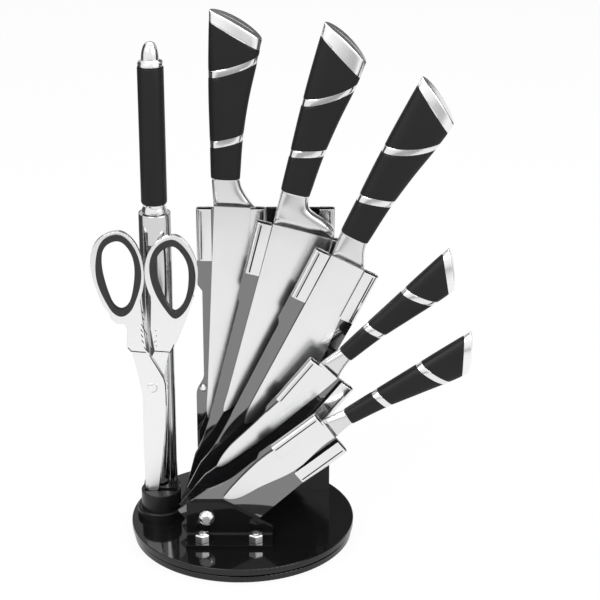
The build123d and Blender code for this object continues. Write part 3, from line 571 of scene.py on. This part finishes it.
SLICER_SECTIONS = (
    (0, 0.4, 21.8, 13.4),
    (30, 1.1, 24.5, 14.8),
    (60, 1.9, 29.4, 15.6),
    (90, 2.0, 35.8, 15.6),
    (136, 1.2, 44.5, 14.2),
)
LARGE_SECTIONS = (*SLICER_SECTIONS[:3], (90, 2.0, 35.0, 15.6), (136, 1.2, 39.5, 14.2))
SMALL_SECTIONS = (
    (0, 0.1, 12.4, 10.6),
    (27, 0.4, 15.2, 12),
    (54, 0.6, 20.0, 13),
    (82, 0.9, 25.2, 13),
    (116, 0.9, 28.8, 12),
)
HOLLOW_FLARE = ((0, 0), (0.16, 0.256), (0.4, 0.58), (0.7, 0.87), (1, 1))
FOOTED_FLARE = ((0, 0), (0.2, 0.04), (0.33, 0.13), (0.44, 0.39), (0.53, 0.66), (0.63, 0.87), (0.78, 0.965), (1, 1))

SLICER = HandleSizes(
    start=22.9,
    left=-2.5,
    lean=2.0,
    sections=SLICER_SECTIONS,
    ring_width=5.3,
    low_ring=(25.9, 32.9),
    high_ring=(78.7, 92.0),
    cap_low=(117.8, 98.1),
    cap_top=(126.1, 106.4),
    sags=(0.4, 1.3),
    flare=HOLLOW_FLARE,
    bulge=2.7,
    heel_round=5.6,
)
CHEF = HandleSizes(
    start=28.2,
    left=-0.7,
    lean=0.0,
    sections=LARGE_SECTIONS,
    ring_width=5.3,
    low_ring=(29.0, 35.9),
    high_ring=(68.2, 88.7),
    cap_low=(118.5, 95.3),
    cap_top=(128.5, 107.8),
    sags=(0.1, 2.4),
    flare=FOOTED_FLARE,
    bulge=2.8,
    heel_round=6.8,
)
CARVER = HandleSizes(
    start=20.6,
    left=-2.2,
    lean=0.2,
    sections=LARGE_SECTIONS,
    ring_width=5.3,
    low_ring=(28.8, 35.8),
    high_ring=(69.6, 89.1),
    cap_low=(121.1, 99.6),
    cap_top=(128.4, 107.7),
    sags=(0.1, 3.0),
    flare=HOLLOW_FLARE,
    bulge=2.5,
    heel_round=6.4,
)
PARER = HandleSizes(
    start=18.0,
    left=1.7,
    lean=0.0,
    sections=SMALL_SECTIONS,
    ring_width=4.9,
    low_ring=(26.6, 30.3),
    high_ring=(65.5, 75.3),
    cap_low=(104.3, 86.0),
    cap_top=(110.8, 91.3),
    sags=(0.1, 1.1),
    flare=HOLLOW_FLARE,
    bulge=2.1,
    heel_round=3.8,
)


SIDE_POWER = 2.7
LINE_STEPS = 8


@dataclass
class Knife:
    """Handle of one knife: bolster, three grips, two rings and the cap, built round the blade's own frame."""

    number: int
    heel_width: float
    sizes: HandleSizes
    points: int = 44
    seam: float = 0.3
    ring_seam_share: float = 0.6
    rim: float = 0.9
    bolster_inset: float = 0.5
    heel_depth: float = 2.4
    heel_spread: float = 1.25
    heel_power: float = 5.0
    end_power: float = 2.15
    end_slope: float = 0.15
    bolster_shares: tuple[float, ...] = (
        *(0, 0.02, 0.045, 0.075, 0.11, 0.145, 0.18, 0.215, 0.25, 0.28, 0.31, 0.34, 0.37, 0.4, 0.44, 0.48),
        *(0.52, 0.57, 0.62, 0.68, 0.74, 0.8, 0.86, 0.92, 0.955, 0.985, 1),
    )
    origin: Vector = field(default_factory=Vector)
    across: Vector = field(default_factory=Vector)
    up: Vector = field(default_factory=Vector)

    def find_frame(self) -> None:
        """Read the knife's place from its CAD nodes: the heel's corner, the way up the handle and the way across."""
        axis = next(joint["axis"] for joint in frame["joints"] if joint["name"] == f"knife_{self.number}_draw")
        self.up = Vector(axis).normalized()
        self.across = Vector((self.up.z, 0, -self.up.x))
        shell = [vertex.co for vertex in frame["nodes"][f"knife_{self.number}_shell"].data.vertices]
        blade = [vertex.co for vertex in frame["nodes"][f"knife_{self.number}_blade"].data.vertices]
        foot = min(self.up.dot(place) for place in shell)
        left = min(self.across.dot(place) for place in blade)
        depths = [place.y for place in blade]
        self.origin = self.across * left + self.up * foot + Vector((0, (min(depths) + max(depths)) / 2, 0))

    def place(self, x: float, height: float, depth: float) -> Vector:
        """Point at a distance from the spine, a height above the heel and a depth behind the blade's middle, in mm."""
        return self.origin + (self.across * x + self.up * height) * MM + Vector((0, depth * MM, 0))

    def column(self, index: int, height: float) -> float:
        """Smooth value of one column of the sections at a height above the grip line."""
        return smooth_value([(row[0], row[index]) for row in self.sizes.sections], height)

    def spine(self, height: float) -> float:
        """Distance of the spine side from the blade's spine at a height above the grip line."""
        return self.sizes.left - height * math.tan(math.radians(self.sizes.lean)) - self.column(1, height)

    def ring_at(
        self,
        line: Point,
        sag: float,
        inset: float,
        lift: float = 0.0,
        bulge: float = 0.0,
        power: float = SIDE_POWER,
        slope: float = 0.0,
    ) -> Ring:
        """Section of the handle along a slanting and sagging line.

        Args:
            line: heights at the spine side and at the belly side.
            sag: how far the line hangs in its middle.
            inset: how far the section stands inside the full one, in millimetres.
            lift: added to the height.
            bulge: rise of the middle.
            power: fullness of the section's corners.
            slope: rise towards the rear, as a share of the depth.

        Returns:
            The ring of places.
        """
        low_left = self.spine(line[0])
        low_width = self.column(2, line[1])
        ring = []
        for x, y in unit_section(self.points, power):
            height = (line[0] + line[1]) / 2
            for _ in range(LINE_STEPS):
                width = self.column(2, height)
                side = self.spine(height) + width / 2 + x * (width / 2 - inset)
                share = (side - low_left) / low_width
                height = line[0] + (line[1] - line[0]) * share - (sag - bulge) * 4 * share * (1 - share) + lift
            depth = y * (self.column(3, height) / 2 - inset)
            ring.append(self.place(side, self.sizes.start + height + slope * depth, depth))
        return ring

    def rows(self, low: Point, high: Point, sags: Point, count: int, seam: float) -> list[Ring]:
        """Rings of a band of the handle between two lines, with rounded seams at both ends.

        Args:
            low: the lower line.
            high: the upper line.
            sags: how far the two lines hang.
            count: rings between the seams.
            seam: how far the seams stand inside the band.

        Returns:
            The rings, upwards.
        """
        steps = [(0.0, seam, 0.0), (0.0, seam * 0.25, seam * 0.7)]
        steps += [(step / (count + 1), 0.0, 0.0) for step in range(1, count + 1)]
        steps += [(1.0, seam * 0.25, -seam * 0.7), (1.0, seam, 0.0)]
        rings = []
        for share, inset, lift in steps:
            line = (low[0] + (high[0] - low[0]) * share, low[1] + (high[1] - low[1]) * share)
            sag = sags[0] + (sags[1] - sags[0]) * share
            rings.append(self.ring_at(line, sag, inset, lift))
        return rings

    def bolster_rings(self) -> list[Ring]:
        """Rings from the heel, as wide as the blade and rounded underneath, up to the grip line.

        Returns:
            The rings, upwards.
        """
        sizes = self.sizes
        top_width, top_depth = sizes.sections[0][2], sizes.sections[0][3]
        inset_curve = ((0, 0), (0.5, 0.4), (1, 1))
        rings = []
        for share in self.bolster_shares:
            left = self.spine(0) * share
            flare = smooth_value(sizes.flare, share)
            right = self.heel_width + (self.spine(0) + top_width - self.heel_width) * flare
            height = sizes.start * share
            round_share = min(1.0, height / sizes.heel_round)
            swell = sizes.heel_round * self.heel_spread * (1 - (1 - round_share) ** self.heel_spread)
            heel_depth = self.heel_depth + swell
            depth = heel_depth + (top_depth - heel_depth) * share**0.9
            inset = self.seam if share == 1 else self.bolster_inset * smooth_value(inset_curve, share)
            power = self.heel_power - (self.heel_power - SIDE_POWER) * share**0.6
            middle, half = (left + right) / 2, (right - left) / 2 - inset
            section = unit_section(self.points, power)
            rings.append([self.place(middle + x * half, height, y * (depth / 2 - inset)) for x, y in section])
        return rings

    def cap_rings(self) -> list[Ring]:
        """Rings of the cap: seam, side, rounded rim and the slightly domed end.

        Returns:
            The rings, upwards and then inwards, the last one flattened to a line.
        """
        low, top, bulge = self.sizes.cap_low, self.sizes.cap_top, self.sizes.bulge
        rings = [self.ring_at(low, 0, self.seam), self.ring_at(low, 0, 0, self.seam)]
        for share in (0.2, 0.4, 0.6, 0.8, 0.92):
            line = (low[0] + (top[0] - low[0]) * share, low[1] + (top[1] - low[1]) * share)
            power = SIDE_POWER - (SIDE_POWER - self.end_power) * share
            rings.append(self.ring_at(line, 0, 0, -self.rim * share, bulge * share, power, self.end_slope * share))
        for angle in quarter_turn(5)[1:]:
            inset, lift = self.rim * (1 - math.cos(angle)), self.rim * (math.sin(angle) - 1)
            rings.append(self.ring_at(top, 0, inset, lift, bulge, self.end_power, self.end_slope))
        depth = self.sizes.sections[-1][3]
        for share in (0.3, 0.6, 0.85, 1.0):
            inset = self.rim + share * (depth / 2 - self.rim - 0.2)
            rings.append(self.ring_at(top, 0, inset, 0, bulge, self.end_power, self.end_slope))
        rings[-1] = [Vector((place.x, self.origin.y, place.z)) for place in rings[-1]]
        return rings

    def build(self) -> None:
        """Make every piece of the handle and dress it."""
        self.find_frame()
        sizes, half = self.sizes, self.sizes.ring_width / 2
        body = f"knife_{self.number}"
        shell, grip, cap = f"{body}_shell", f"{body}_grip", f"{body}_cap"
        grip_line: Point = (0.0, 0.0)
        low_bottom, low_top = (tuple(place + side for place in sizes.low_ring) for side in (-half, half))
        high_bottom, high_top = (tuple(place + side for place in sizes.high_ring) for side in (-half, half))
        low_sag, high_sag = sizes.sags
        bands = [
            ("grip_low", grip_line, low_bottom, (0.0, low_sag), 5),
            ("ring_low", low_bottom, low_top, (low_sag, low_sag), 3),
            ("grip_main", low_top, high_bottom, (low_sag, high_sag), 14),
            ("ring_high", high_bottom, high_top, (high_sag, high_sag), 3),
            ("grip_end", high_top, sizes.cap_low, (high_sag, 0.0), 6),
        ]
        for label, low, high, sags, count in bands:
            soft = label.startswith("grip")
            seam = self.seam if soft else self.seam * self.ring_seam_share
            piece = loft(f"{body}_{label}", self.rows(low, high, sags, count, seam))
            shade(45)
            if soft:
                finish_piece(piece, GRIP, body, [grip])
            else:
                finish_piece(piece, POLISHED, body, [shell])
        bolster = loft(f"{body}_bolster", self.bolster_rings())
        shade(50)
        finish_piece(bolster, BOLSTER, body, [shell])
        end = loft(f"{body}_end_cap", self.cap_rings())
        weld(end)
        shade(50)
        finish_piece(end, CAP, body, [cap])


@dataclass
class KnifeSet:
    """The five knives, left to right, as (width of the blade's heel in millimetres, sizes of the handle)."""

    handles: tuple[tuple[float, HandleSizes], ...] = (
        (31.5, SLICER),
        (46.0, CHEF),
        (27.3, CARVER),
        (17.5, PARER),
        (16.5, PARER),
    )

    def build(self) -> None:
        """Build every handle."""
        for number, (heel_width, sizes) in enumerate(self.handles, start=1):
            Knife(number, heel_width, sizes).build()


# ---------------------------------------------------------------- sheet parts and guides
@dataclass
class FanSheets:
    """Black sheet parts with their edges broken, and the rolled guides."""

    sheet_edge: float = 0.00022
    guide_edge: float = 0.00018
    # seam_share and the painted line radii and margin place and size painted reflection lines: dark lines drawn on the
    # rolled guides where their curve mirrors dark surroundings
    seam_share: float = 0.34
    painted_line_radii: tuple[float, ...] = (0.00036, 0.0006, 0.0005, 0.0005, 0.0005)
    painted_line_margin: float = 0.0012
    leans: tuple[float, ...] = (0.0, 14.0, 26.0, 38.5, 51.0)
    sheets: tuple[str, ...] = ("leaf_1", "leaf_2", "leaf_3", "leaf_4", "leaf_5", "rear_panel", "front_bracket")
    guides: tuple[str, ...] = ("guides_1", "guides_2", "guides_3", "guides_4", "guides_5")

    def loose_parts(self, piece: bpy.types.Object) -> list[list[Vector]]:
        """The vertices of each separate shell of a merged piece.

        Args:
            piece: the merged piece.

        Returns:
            The places of each shell's vertices.
        """
        mesh = bmesh.new()
        mesh.from_mesh(piece.data)
        left = set(mesh.verts)
        parts = []
        while left:
            stack = [left.pop()]
            part = []
            while stack:
                vertex = stack.pop()
                part.append(vertex.co.copy())
                for edge in vertex.link_edges:
                    other = edge.other_vert(vertex)
                    if other in left:
                        left.remove(other)
                        stack.append(other)
            parts.append(part)
        mesh.free()
        return parts

    def build_painted_reflection_lines(self, number: int, parts: list[list[Vector]]) -> None:
        """Painted reflection: a dark line drawn on each rolled guide where its edge meets its flat face, standing in
        for the dark band that the curve mirrors.

        Args:
            number: number of the leaf.
            parts: the vertices of each guide of that leaf.
        """
        lean = math.radians(self.leans[number - 1])
        across, up = Vector((math.cos(lean), 0, -math.sin(lean))), Vector((math.sin(lean), 0, math.cos(lean)))
        parts = sorted(parts, key=lambda part: min(across.dot(place) for place in part))
        paths = []
        for index, part in enumerate(parts):
            sides = [across.dot(place) for place in part]
            heights = [up.dot(place) for place in part]
            left, right = min(sides), max(sides)
            side = left + (right - left) * (self.seam_share if index == 0 else 1 - self.seam_share)
            front = Vector((0, min(place.y for place in part), 0))
            low, high = min(heights) + self.painted_line_margin, max(heights) - self.painted_line_margin
            paths.append([front + across * side + up * height for height in (low, (low + high) / 2, high)])
        # painted reflection: one dark bead along each rolled guide
        painted_reflection_lines = bead(f"guides_{number}_seams", [eased(path) for path in paths], self.painted_line_radii[number - 1])
        finish_piece(painted_reflection_lines, LINE, "turntable", [])

    def build(self) -> None:
        """Break the edges of every sheet and guide."""
        for node in self.sheets:
            piece = merged_copy(node, f"{node}_sheet")
            round_edges(piece, self.sheet_edge, 2)
            finish = ACRYLIC if node.startswith("leaf") else BRACKET
            finish_piece(piece, finish, "turntable", [node])
        for number, node in enumerate(self.guides, start=1):
            piece = merged_copy(node, f"{node}_rolled")
            self.build_painted_reflection_lines(number, self.loose_parts(piece))
            round_edges(piece, self.guide_edge, 2, 35)
            finish_piece(piece, POLISHED, "turntable", [node])


# ---------------------------------------------------------------- nuts and bolts
@dataclass
class Fixings:
    """The hub's dome nut, the hexagon nuts on the feet and the bolt heads of the panel."""

    nut_edge: float = 0.0005
    bolt_edge: float = 0.0003
    dome_skirt: float = 0.0022
    dome_lip: float = 0.0004
    dome_angle: float = 62.0
    dome_steps: int = 12

    def build_dome(self) -> None:
        """Dome nut on the hub: a short rounded skirt and a smooth dome."""
        low, high = (Vector(corner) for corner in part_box("hub_dome_nut"))
        radius = (high.x - low.x) / 2
        foot = Vector(((low.x + high.x) / 2, high.y, (low.z + high.z) / 2))
        lip = self.dome_lip
        profile = [(radius - lip, 0.0), (radius, lip)]
        profile += [(radius, self.dome_skirt - lip), (radius - lip * 0.4, self.dome_skirt)]
        edge_angle = math.radians(self.dome_angle)
        ball = (radius - lip) / math.sin(edge_angle)
        for step in range(self.dome_steps):
            angle = edge_angle * (1 - step / self.dome_steps)
            rise = ball * (math.cos(angle) - math.cos(edge_angle))
            profile.append((ball * math.sin(angle), self.dome_skirt + rise))
        piece = loft("hub_dome_nut_turned", turned_rings(foot, profile, 48, Vector((0, -1, 0))))
        shade()
        finish_piece(piece, MIRROR, "turntable", ["hub_dome_nut"])

    def build(self) -> None:
        """Make every fixing that shows."""
        self.build_dome()
        for node, edge in (("foot_nuts", self.nut_edge), ("panel_bolts", self.bolt_edge)):
            piece = merged_copy(node, f"{node}_bevelled")
            round_edges(piece, edge, 3, 25)
            finish_piece(piece, MIRROR, "turntable", [node])


# ---------------------------------------------------------------- tube and sharpening steel
@dataclass
class Steel:
    """The tube and the sharpening steel that stands in it: ferrule, grip, cap and finial."""

    rim: float = 0.0006
    wall: float = 0.001
    ferrule_lip: float = 0.0007
    grip_round: float = 0.0012
    cap_lip: float = 0.0006
    finial_foot: float = 0.0044
    finial_step: float = 0.0005
    finial_flare: float = 0.0007
    finial_share: float = 0.71
    finial_power: float = 0.72

    def axis_box(self, node: str) -> tuple[Vector, float, float]:
        """Foot of a round node's axis, its radius and its height, in metres."""
        low, high = (Vector(corner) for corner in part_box(node))
        return Vector(((low.x + high.x) / 2, (low.y + high.y) / 2, low.z)), (high.x - low.x) / 2, high.z - low.z

    def build_tube(self) -> None:
        """Thin-walled tube with a rounded rim."""
        foot, radius, height = self.axis_box("steel_tube")
        rim, inner = self.rim, radius - self.wall
        profile = [(radius, 0.0), (radius, height * 0.5), (radius, height - rim)]
        profile += [(radius - rim * 0.35, height - rim * 0.2), (radius - self.wall / 2, height)]
        profile += [(inner + rim * 0.2, height - rim * 0.3), (inner, height - rim * 1.2)]
        profile += [(inner, height * 0.5), (inner, 0.0), (radius, 0.0)]
        piece = loft("steel_tube_turned", turned_rings(foot, profile, 72), closed_ends=False)
        weld(piece)
        shade()
        finish_piece(piece, TUBE, "turntable", ["steel_tube"])

    def turn_steel_piece(self, node: str, foot: Vector, profile: Sequence[Point], finish: Finish) -> None:
        """Turn one round piece of the sharpening steel and let it stand for its CAD node.

        Args:
            node: the CAD node, which the new piece is named after.
            foot: the foot of its axis.
            profile: its radii and heights in metres.
            finish: what it is made of.
        """
        piece = loft(f"{node}_turned", turned_rings(foot, profile, 56))
        shade()
        finish_piece(piece, finish, "sharpening_steel", [node])

    def build_ferrule(self) -> None:
        """Ferrule between the tube and the grip, with a rounded lip at each end."""
        foot, radius, height = self.axis_box("steel_ferrule")
        lip = self.ferrule_lip
        profile = [(radius - lip, 0), (radius, lip), (radius, height * 0.45), (radius - lip, height * 0.62)]
        profile += [(radius - lip, height * 0.8), (radius - lip * 0.5, height - lip * 0.3), (radius - lip, height)]
        self.turn_steel_piece("steel_ferrule", foot, profile, POLISHED)

    def build_grip(self) -> None:
        """Straight grip with rounded ends."""
        foot, radius, height = self.axis_box("steel_grip")
        edge = self.grip_round
        profile = [(radius - edge, 0.0)]
        for angle in quarter_turn(4)[1:]:
            profile.append((radius - edge + edge * math.sin(angle), edge * (1 - math.cos(angle))))
        profile += [(radius, height * share) for share in (0.25, 0.5, 0.75)]
        for angle in quarter_turn(4):
            profile.append((radius - edge + edge * math.cos(angle), height - edge + edge * math.sin(angle)))
        self.turn_steel_piece("steel_grip", foot, profile, GRIP)

    def build_cap(self) -> None:
        """Cap of the grip, with a shoulder and an egg-shaped finial."""
        foot, radius, height = self.axis_box("steel_cap")
        lip, waist = self.cap_lip, self.finial_foot
        profile = [(radius - lip, 0), (radius, lip), (radius, waist * 0.62), (radius - lip, waist * 0.85)]
        finial, finial_low = radius * self.finial_share, waist + self.finial_step
        profile += [(finial + self.finial_flare, waist), (finial, finial_low)]
        for angle in quarter_turn(14)[1:-1]:
            reach = finial * math.cos(angle) ** self.finial_power
            profile.append((reach, finial_low + (height - waist - self.finial_step) * math.sin(angle)))
        profile.append((finial * 0.04, height))
        self.turn_steel_piece("steel_cap", foot, profile, POLISHED)

    def build(self) -> None:
        """Make the tube and the steel."""
        self.build_tube()
        self.build_ferrule()
        self.build_grip()
        self.build_cap()


# ---------------------------------------------------------------- scissors
@dataclass
class Scissors:
    """Both halves with broken edges, the rounded liners and the pivot."""

    half_edge: float = 0.0003
    liner_round: float = 0.0011
    pivot_edge: float = 0.0003
    pivot_sunk: float = 0.0002
    step_height: float = 0.1355
    line: float = 0.00042
    line_sunk: float = 0.0004
    mark_taper: float = 0.0003
    rim_taper: float = 0.0004
    crack_taper: float = 0.003
    # painted shadow: dark lines along the lower edge of each half's arm, where it steps down to the blade
    front_step_painted_shadow: tuple[Point, ...] = ((-84.0, 4.4), (-81.8, 1.6), (-75.5, 0.9), (-70.7, 0.6))
    rear_step_painted_shadow: tuple[Point, ...] = ((-64.3, 1.6), (-58.0, 1.2), (-52.6, 0.7), (-49.6, 7.0))
    crack: tuple[Point, ...] = (
        *((-68.4, -1.6), (-62.4, -12.8), (-58.0, -21.4)),
        *((-57.0, -26.0), (-56.7, -34.0), (-56.9, -44.0)),
    )
    teeth: tuple[Point, ...] = ((-72.6, 33.3), (-72.0, 27.7), (-73.4, 18.1), (-73.3, 13.9), (-72.9, 9.3), (-71.2, 3.6))
    tooth_reach: Point = (0.8, -1.3)
    score: tuple[Point, ...] = ((-73.6, 23.6), (-72.0, 20.0), (-69.4, 14.6))
    dimples: tuple[Point, ...] = ((-63.0, 18.1), (-62.6, 14.0), (-63.0, 9.7), (-64.3, 9.0), (-62.9, 6.0))
    dimple_reach: float = 0.5
    notch: tuple[Point, ...] = ((-3.6, 1.9), (-1.6, 2.4), (0.6, 2.5))

    def face_points(self, points: Sequence[Point], node: str, sunk: float = 0.0) -> list[Vector]:
        """Points given as x and height above the step, in millimetres, on the front of a half's arm or blade.

        Args:
            points: the points.
            node: the CAD node of the half.
            sunk: distance of the points behind the half's foremost face, in metres.

        Returns:
            The places.
        """
        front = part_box(node)[0][1] + sunk
        return [Vector((x * MM, front, self.step_top() + z * MM)) for x, z in points]

    def step_top(self) -> float:
        """Height of the step between the arms and the blades, in metres: level with the lower end of the arms."""
        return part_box("turntable_disc")[1][2] + self.step_height

    def build_pivot(self) -> None:
        """Rivet of the scissors, nearly flush at the front, with painted grey shade down one side of its rim and a
        notch.
        """
        low, high = (Vector(corner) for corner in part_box("scissors_pivot"))
        middle = Vector(((low.x + high.x) / 2, high.y, (low.z + high.z) / 2))
        radius, edge = (high.x - low.x) / 2, self.pivot_edge
        reach = high.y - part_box("scissors_front_half")[0][1] - self.pivot_sunk
        profile = [(radius - edge, 0.0), (radius, edge), (radius, reach - edge), (radius - edge, reach)]
        piece = loft("scissors_pivot_turned", turned_rings(middle, profile, 40, Vector((0, -1, 0))))
        shade(30)
        finish_piece(piece, SATIN, "scissors", ["scissors_pivot"])
        front = middle - Vector((0, reach, 0))
        # painted shade: a grey arc down the right side of the rivet's rim, drawn with the notch as one grey piece
        arc = []
        for degrees in range(75, -106, -15):
            angle = math.radians(degrees)
            arc.append(front + Vector((math.cos(angle), 0, math.sin(angle))) * (radius - edge))
        notch = [front + Vector((x * MM, 0, z * MM)) for x, z in self.notch]
        paths = [eased(path, self.rim_taper) for path in (arc, notch)]
        rim = bead("scissors_pivot_painted_shade", paths, self.line * 0.5)
        finish_piece(rim, SHADE, "scissors", [])

    def build_marks(self) -> None:
        """Teeth, score, dimples, painted shadow lines under the arms' steps and the dark joint line between the
        halves.
        """
        front, rear = "scissors_front_half", "scissors_rear_half"
        dx, dz = self.tooth_reach
        teeth = [self.face_points([(x - dx, z - dz), (x + dx, z + dz)], front) for x, z in self.teeth]
        teeth.append(self.face_points(self.score, front))
        reach = self.dimple_reach
        dots = [self.face_points([(x, z + reach), (x, z - reach)], rear) for x, z in self.dimples]
        crack = eased(self.face_points(self.crack, front, self.line_sunk), self.crack_taper)
        marks = [
            ("scissors_front_teeth", [eased(path, self.mark_taper) for path in teeth], 0.8),
            ("scissors_rear_dimples", [eased(path, self.mark_taper) for path in dots], 0.8),
            # the two step lines are painted shadow
            ("scissors_front_lip", [eased(self.face_points(self.front_step_painted_shadow, front))], 1.0),
            ("scissors_rear_lip", [eased(self.face_points(self.rear_step_painted_shadow, rear))], 1.0),
            ("scissors_joint_line", [crack], 1.0),
        ]
        for name, paths, share in marks:
            body = "scissors" if "rear" in name else "scissors_front"
            finish_piece(bead(name, paths, self.line * share), LINE, body, [])

    def build(self) -> None:
        """Make the pieces of the scissors."""
        for side, body in (("front", "scissors_front"), ("rear", "scissors")):
            half = merged_copy(f"scissors_{side}_half", f"scissors_{side}_half_ground")
            round_edges(half, self.half_edge, 2, 35)
            finish_piece(half, SATIN, body, [f"scissors_{side}_half"])
            liner = merged_copy(f"scissors_{side}_liner", f"scissors_{side}_liner_rounded")
            round_edges(liner, self.liner_round, 4, 50)
            finish_piece(liner, LINER, body, [f"scissors_{side}_liner"])
        self.build_pivot()
        self.build_marks()


# ---------------------------------------------------------------- studio
@dataclass(frozen=True)
class Lamp:
    """A soft square area lamp: its place and size in metres and its power in watts."""

    name: str
    place: Place
    size: float
    power: float


@dataclass(frozen=True)
class Card:
    """A board that only polished surfaces mirror: its middle and size in metres, its turn in degrees and its grey."""

    name: str
    place: Place
    size: Point
    turn: Place
    grey: float


@dataclass
class Studio:
    """Floor, surroundings, boards, lamps and camera."""

    focal: float = 120.0
    sensor: float = 36.0
    clip: Point = (0.05, 50.0)
    camera_place: Place = (0.044, -1.362, 0.7526)
    pitch: float = 22.4
    aim: Place = (0.03, 0.0, 0.2)
    floor_size: float = 12.0
    floor_drop: float = 0.0001
    floor_white: float = 0.95
    floor_glow: float = 0.93
    shed_light: float = 0.45
    lamps: tuple[Lamp, ...] = (
        Lamp("key", (-0.9, -1.3, 1.5), 1.2, 22.0),
        Lamp("fill", (1.2, -0.9, 1.0), 1.0, 12.0),
        Lamp("top", (0.1, 0.5, 1.7), 1.2, 12.0),
    )
    cards: tuple[Card, ...] = (
        Card("left", (-0.55, 0.25, 0.4), (0.6, 0.8), (90, 0, 70), 0.07),
        Card("right", (0.65, 0.25, 0.4), (0.6, 0.8), (90, 0, -70), 0.06),
        Card("front", (0.05, -1.15, 0.002), (1.6, 0.9), (0, 0, 0), 0.4),
        Card("front_left", (-0.34, -0.16, 0.003), (0.16, 0.42), (0, 0, 25), 0.08),
        # painted reflection: two dark boards just behind the scissors, which the tube mirrors as the shaded back of
        # the left loop and of the gap between the arms
        Card("painted_reflection_behind_loop", (-0.0895, 0.0042, 0.206), (0.037, 0.07), (90, 0, 0), 0.14),
        Card("painted_reflection_in_scissors_gap", (-0.0668, 0.0048, 0.186), (0.0135, 0.09), (90, 0, 0), 0.12),
        Card("rear", (0.7, 1.6, 1.3), (1.6, 1.8), (90, 0, 0), 0.12),
        Card("rear_left", (-0.75, 1.6, 1.1), (1.3, 1.4), (90, 0, 0), 0.6),
    )

    def make_camera(self) -> None:
        """Place the camera, level from side to side and pitched down."""
        bpy.ops.object.camera_add()
        camera = bpy.context.object
        camera.name = "camera"
        camera.data.lens = self.focal
        camera.data.sensor_width = self.sensor
        camera.data.clip_start, camera.data.clip_end = self.clip
        camera.location = self.camera_place
        camera.rotation_euler = (math.radians(90 - self.pitch), 0, 0)
        bpy.context.scene.camera = camera

    def make_lamps(self) -> None:
        """Hang the soft area lamps, all aimed at the middle of the object."""
        for plan in self.lamps:
            bpy.ops.object.light_add(type="AREA", location=plan.place)
            lamp = bpy.context.object
            lamp.name = f"lamp_{plan.name}"
            lamp.data.shape = "SQUARE"
            lamp.data.size = plan.size
            lamp.data.energy = plan.power
            lamp.rotation_euler = (Vector(self.aim) - Vector(plan.place)).to_track_quat("-Z", "Y").to_euler()

    def seen_factor(self, tree: bpy.types.NodeTree) -> bpy.types.NodeSocket:
        """A socket that is 1 for camera, glossy and transmission rays and 0 for all others.

        Args:
            tree: the node tree that it is made in.

        Returns:
            The socket.
        """
        path = tree.nodes.new("ShaderNodeLightPath")
        first = tree.nodes.new("ShaderNodeMath")
        first.operation = "MAXIMUM"
        second = tree.nodes.new("ShaderNodeMath")
        second.operation = "MAXIMUM"
        tree.links.new(path.outputs["Is Camera Ray"], first.inputs[0])
        tree.links.new(path.outputs["Is Glossy Ray"], first.inputs[1])
        tree.links.new(first.outputs[0], second.inputs[0])
        tree.links.new(path.outputs["Is Transmission Ray"], second.inputs[1])
        return second.outputs[0]

    def make_world(self) -> None:
        """White surroundings, dimmer for the light that they shed than as they are seen."""
        world = bpy.data.worlds.new("studio")
        bpy.context.scene.world = world
        world.use_nodes = True
        tree = world.node_tree
        back = tree.nodes["Background"]
        level = tree.nodes.new("ShaderNodeMapRange")
        level.inputs["To Min"].default_value = self.shed_light
        level.inputs["To Max"].default_value = 1.0
        tree.links.new(self.seen_factor(tree), level.inputs["Value"])
        tree.links.new(level.outputs["Result"], back.inputs["Strength"])
        back.inputs["Color"].default_value = (1, 1, 1, 1)

    def make_floor(self) -> None:
        """White floor that keeps the object's shadow."""
        clear_selection()
        bpy.ops.mesh.primitive_plane_add(size=self.floor_size, location=(0, 0, -self.floor_drop))
        floor = bpy.context.object
        floor.name = "floor"
        material = bpy.data.materials.new("floor_white")
        material.use_nodes = True
        tree = material.node_tree
        shader = tree.nodes["Principled BSDF"]
        shader.inputs["Base Color"].default_value = (self.floor_white, self.floor_white, self.floor_white, 1)
        shader.inputs["Roughness"].default_value = 0.9
        glow = tree.nodes.new("ShaderNodeEmission")
        glow.inputs["Strength"].default_value = 1.0
        mix = tree.nodes.new("ShaderNodeMixShader")
        share = tree.nodes.new("ShaderNodeMath")
        share.operation = "MULTIPLY"
        share.inputs[1].default_value = self.floor_glow
        tree.links.new(self.seen_factor(tree), share.inputs[0])
        tree.links.new(share.outputs[0], mix.inputs["Fac"])
        tree.links.new(shader.outputs[0], mix.inputs[1])
        tree.links.new(glow.outputs[0], mix.inputs[2])
        tree.links.new(mix.outputs[0], tree.nodes["Material Output"].inputs["Surface"])
        floor.data.materials.append(material)
        settle(floor)

    def make_cards(self) -> None:
        """Set up the boards, which neither the camera nor plain surfaces see and which cast no shadow."""
        for plan in self.cards:
            clear_selection()
            bpy.ops.mesh.primitive_plane_add(size=1, location=plan.place)
            card = bpy.context.object
            card.name = f"card_{plan.name}"
            card.scale = (*plan.size, 1)
            card.rotation_euler = [math.radians(angle) for angle in plan.turn]
            material = bpy.data.materials.new(card.name)
            material.use_nodes = True
            tree = material.node_tree
            tree.nodes.remove(tree.nodes["Principled BSDF"])
            glow = tree.nodes.new("ShaderNodeEmission")
            glow.inputs["Color"].default_value = (plan.grey, plan.grey, plan.grey, 1)
            tree.links.new(glow.outputs[0], tree.nodes["Material Output"].inputs["Surface"])
            card.data.materials.append(material)
            card.visible_camera = False
            card.visible_diffuse = False
            card.visible_shadow = False
            settle(card)

    def build(self) -> None:
        """Set up the floor, boards, world, lamps, camera and the plain view transform."""
        self.make_floor()
        self.make_cards()
        self.make_world()
        self.make_lamps()
        self.make_camera()
        bpy.context.scene.view_settings.view_transform = "Standard"


def main() -> None:
    """Build the studio and every sub-assembly, in order."""
    logging.basicConfig(level=logging.INFO, format="%(name)s: %(message)s")
    Studio().build()
    dress_nodes()
    KnifeSet().build()
    FanSheets().build()
    Fixings().build()
    Steel().build()
    Scissors().build()


if __name__ == "__main__":
    main()
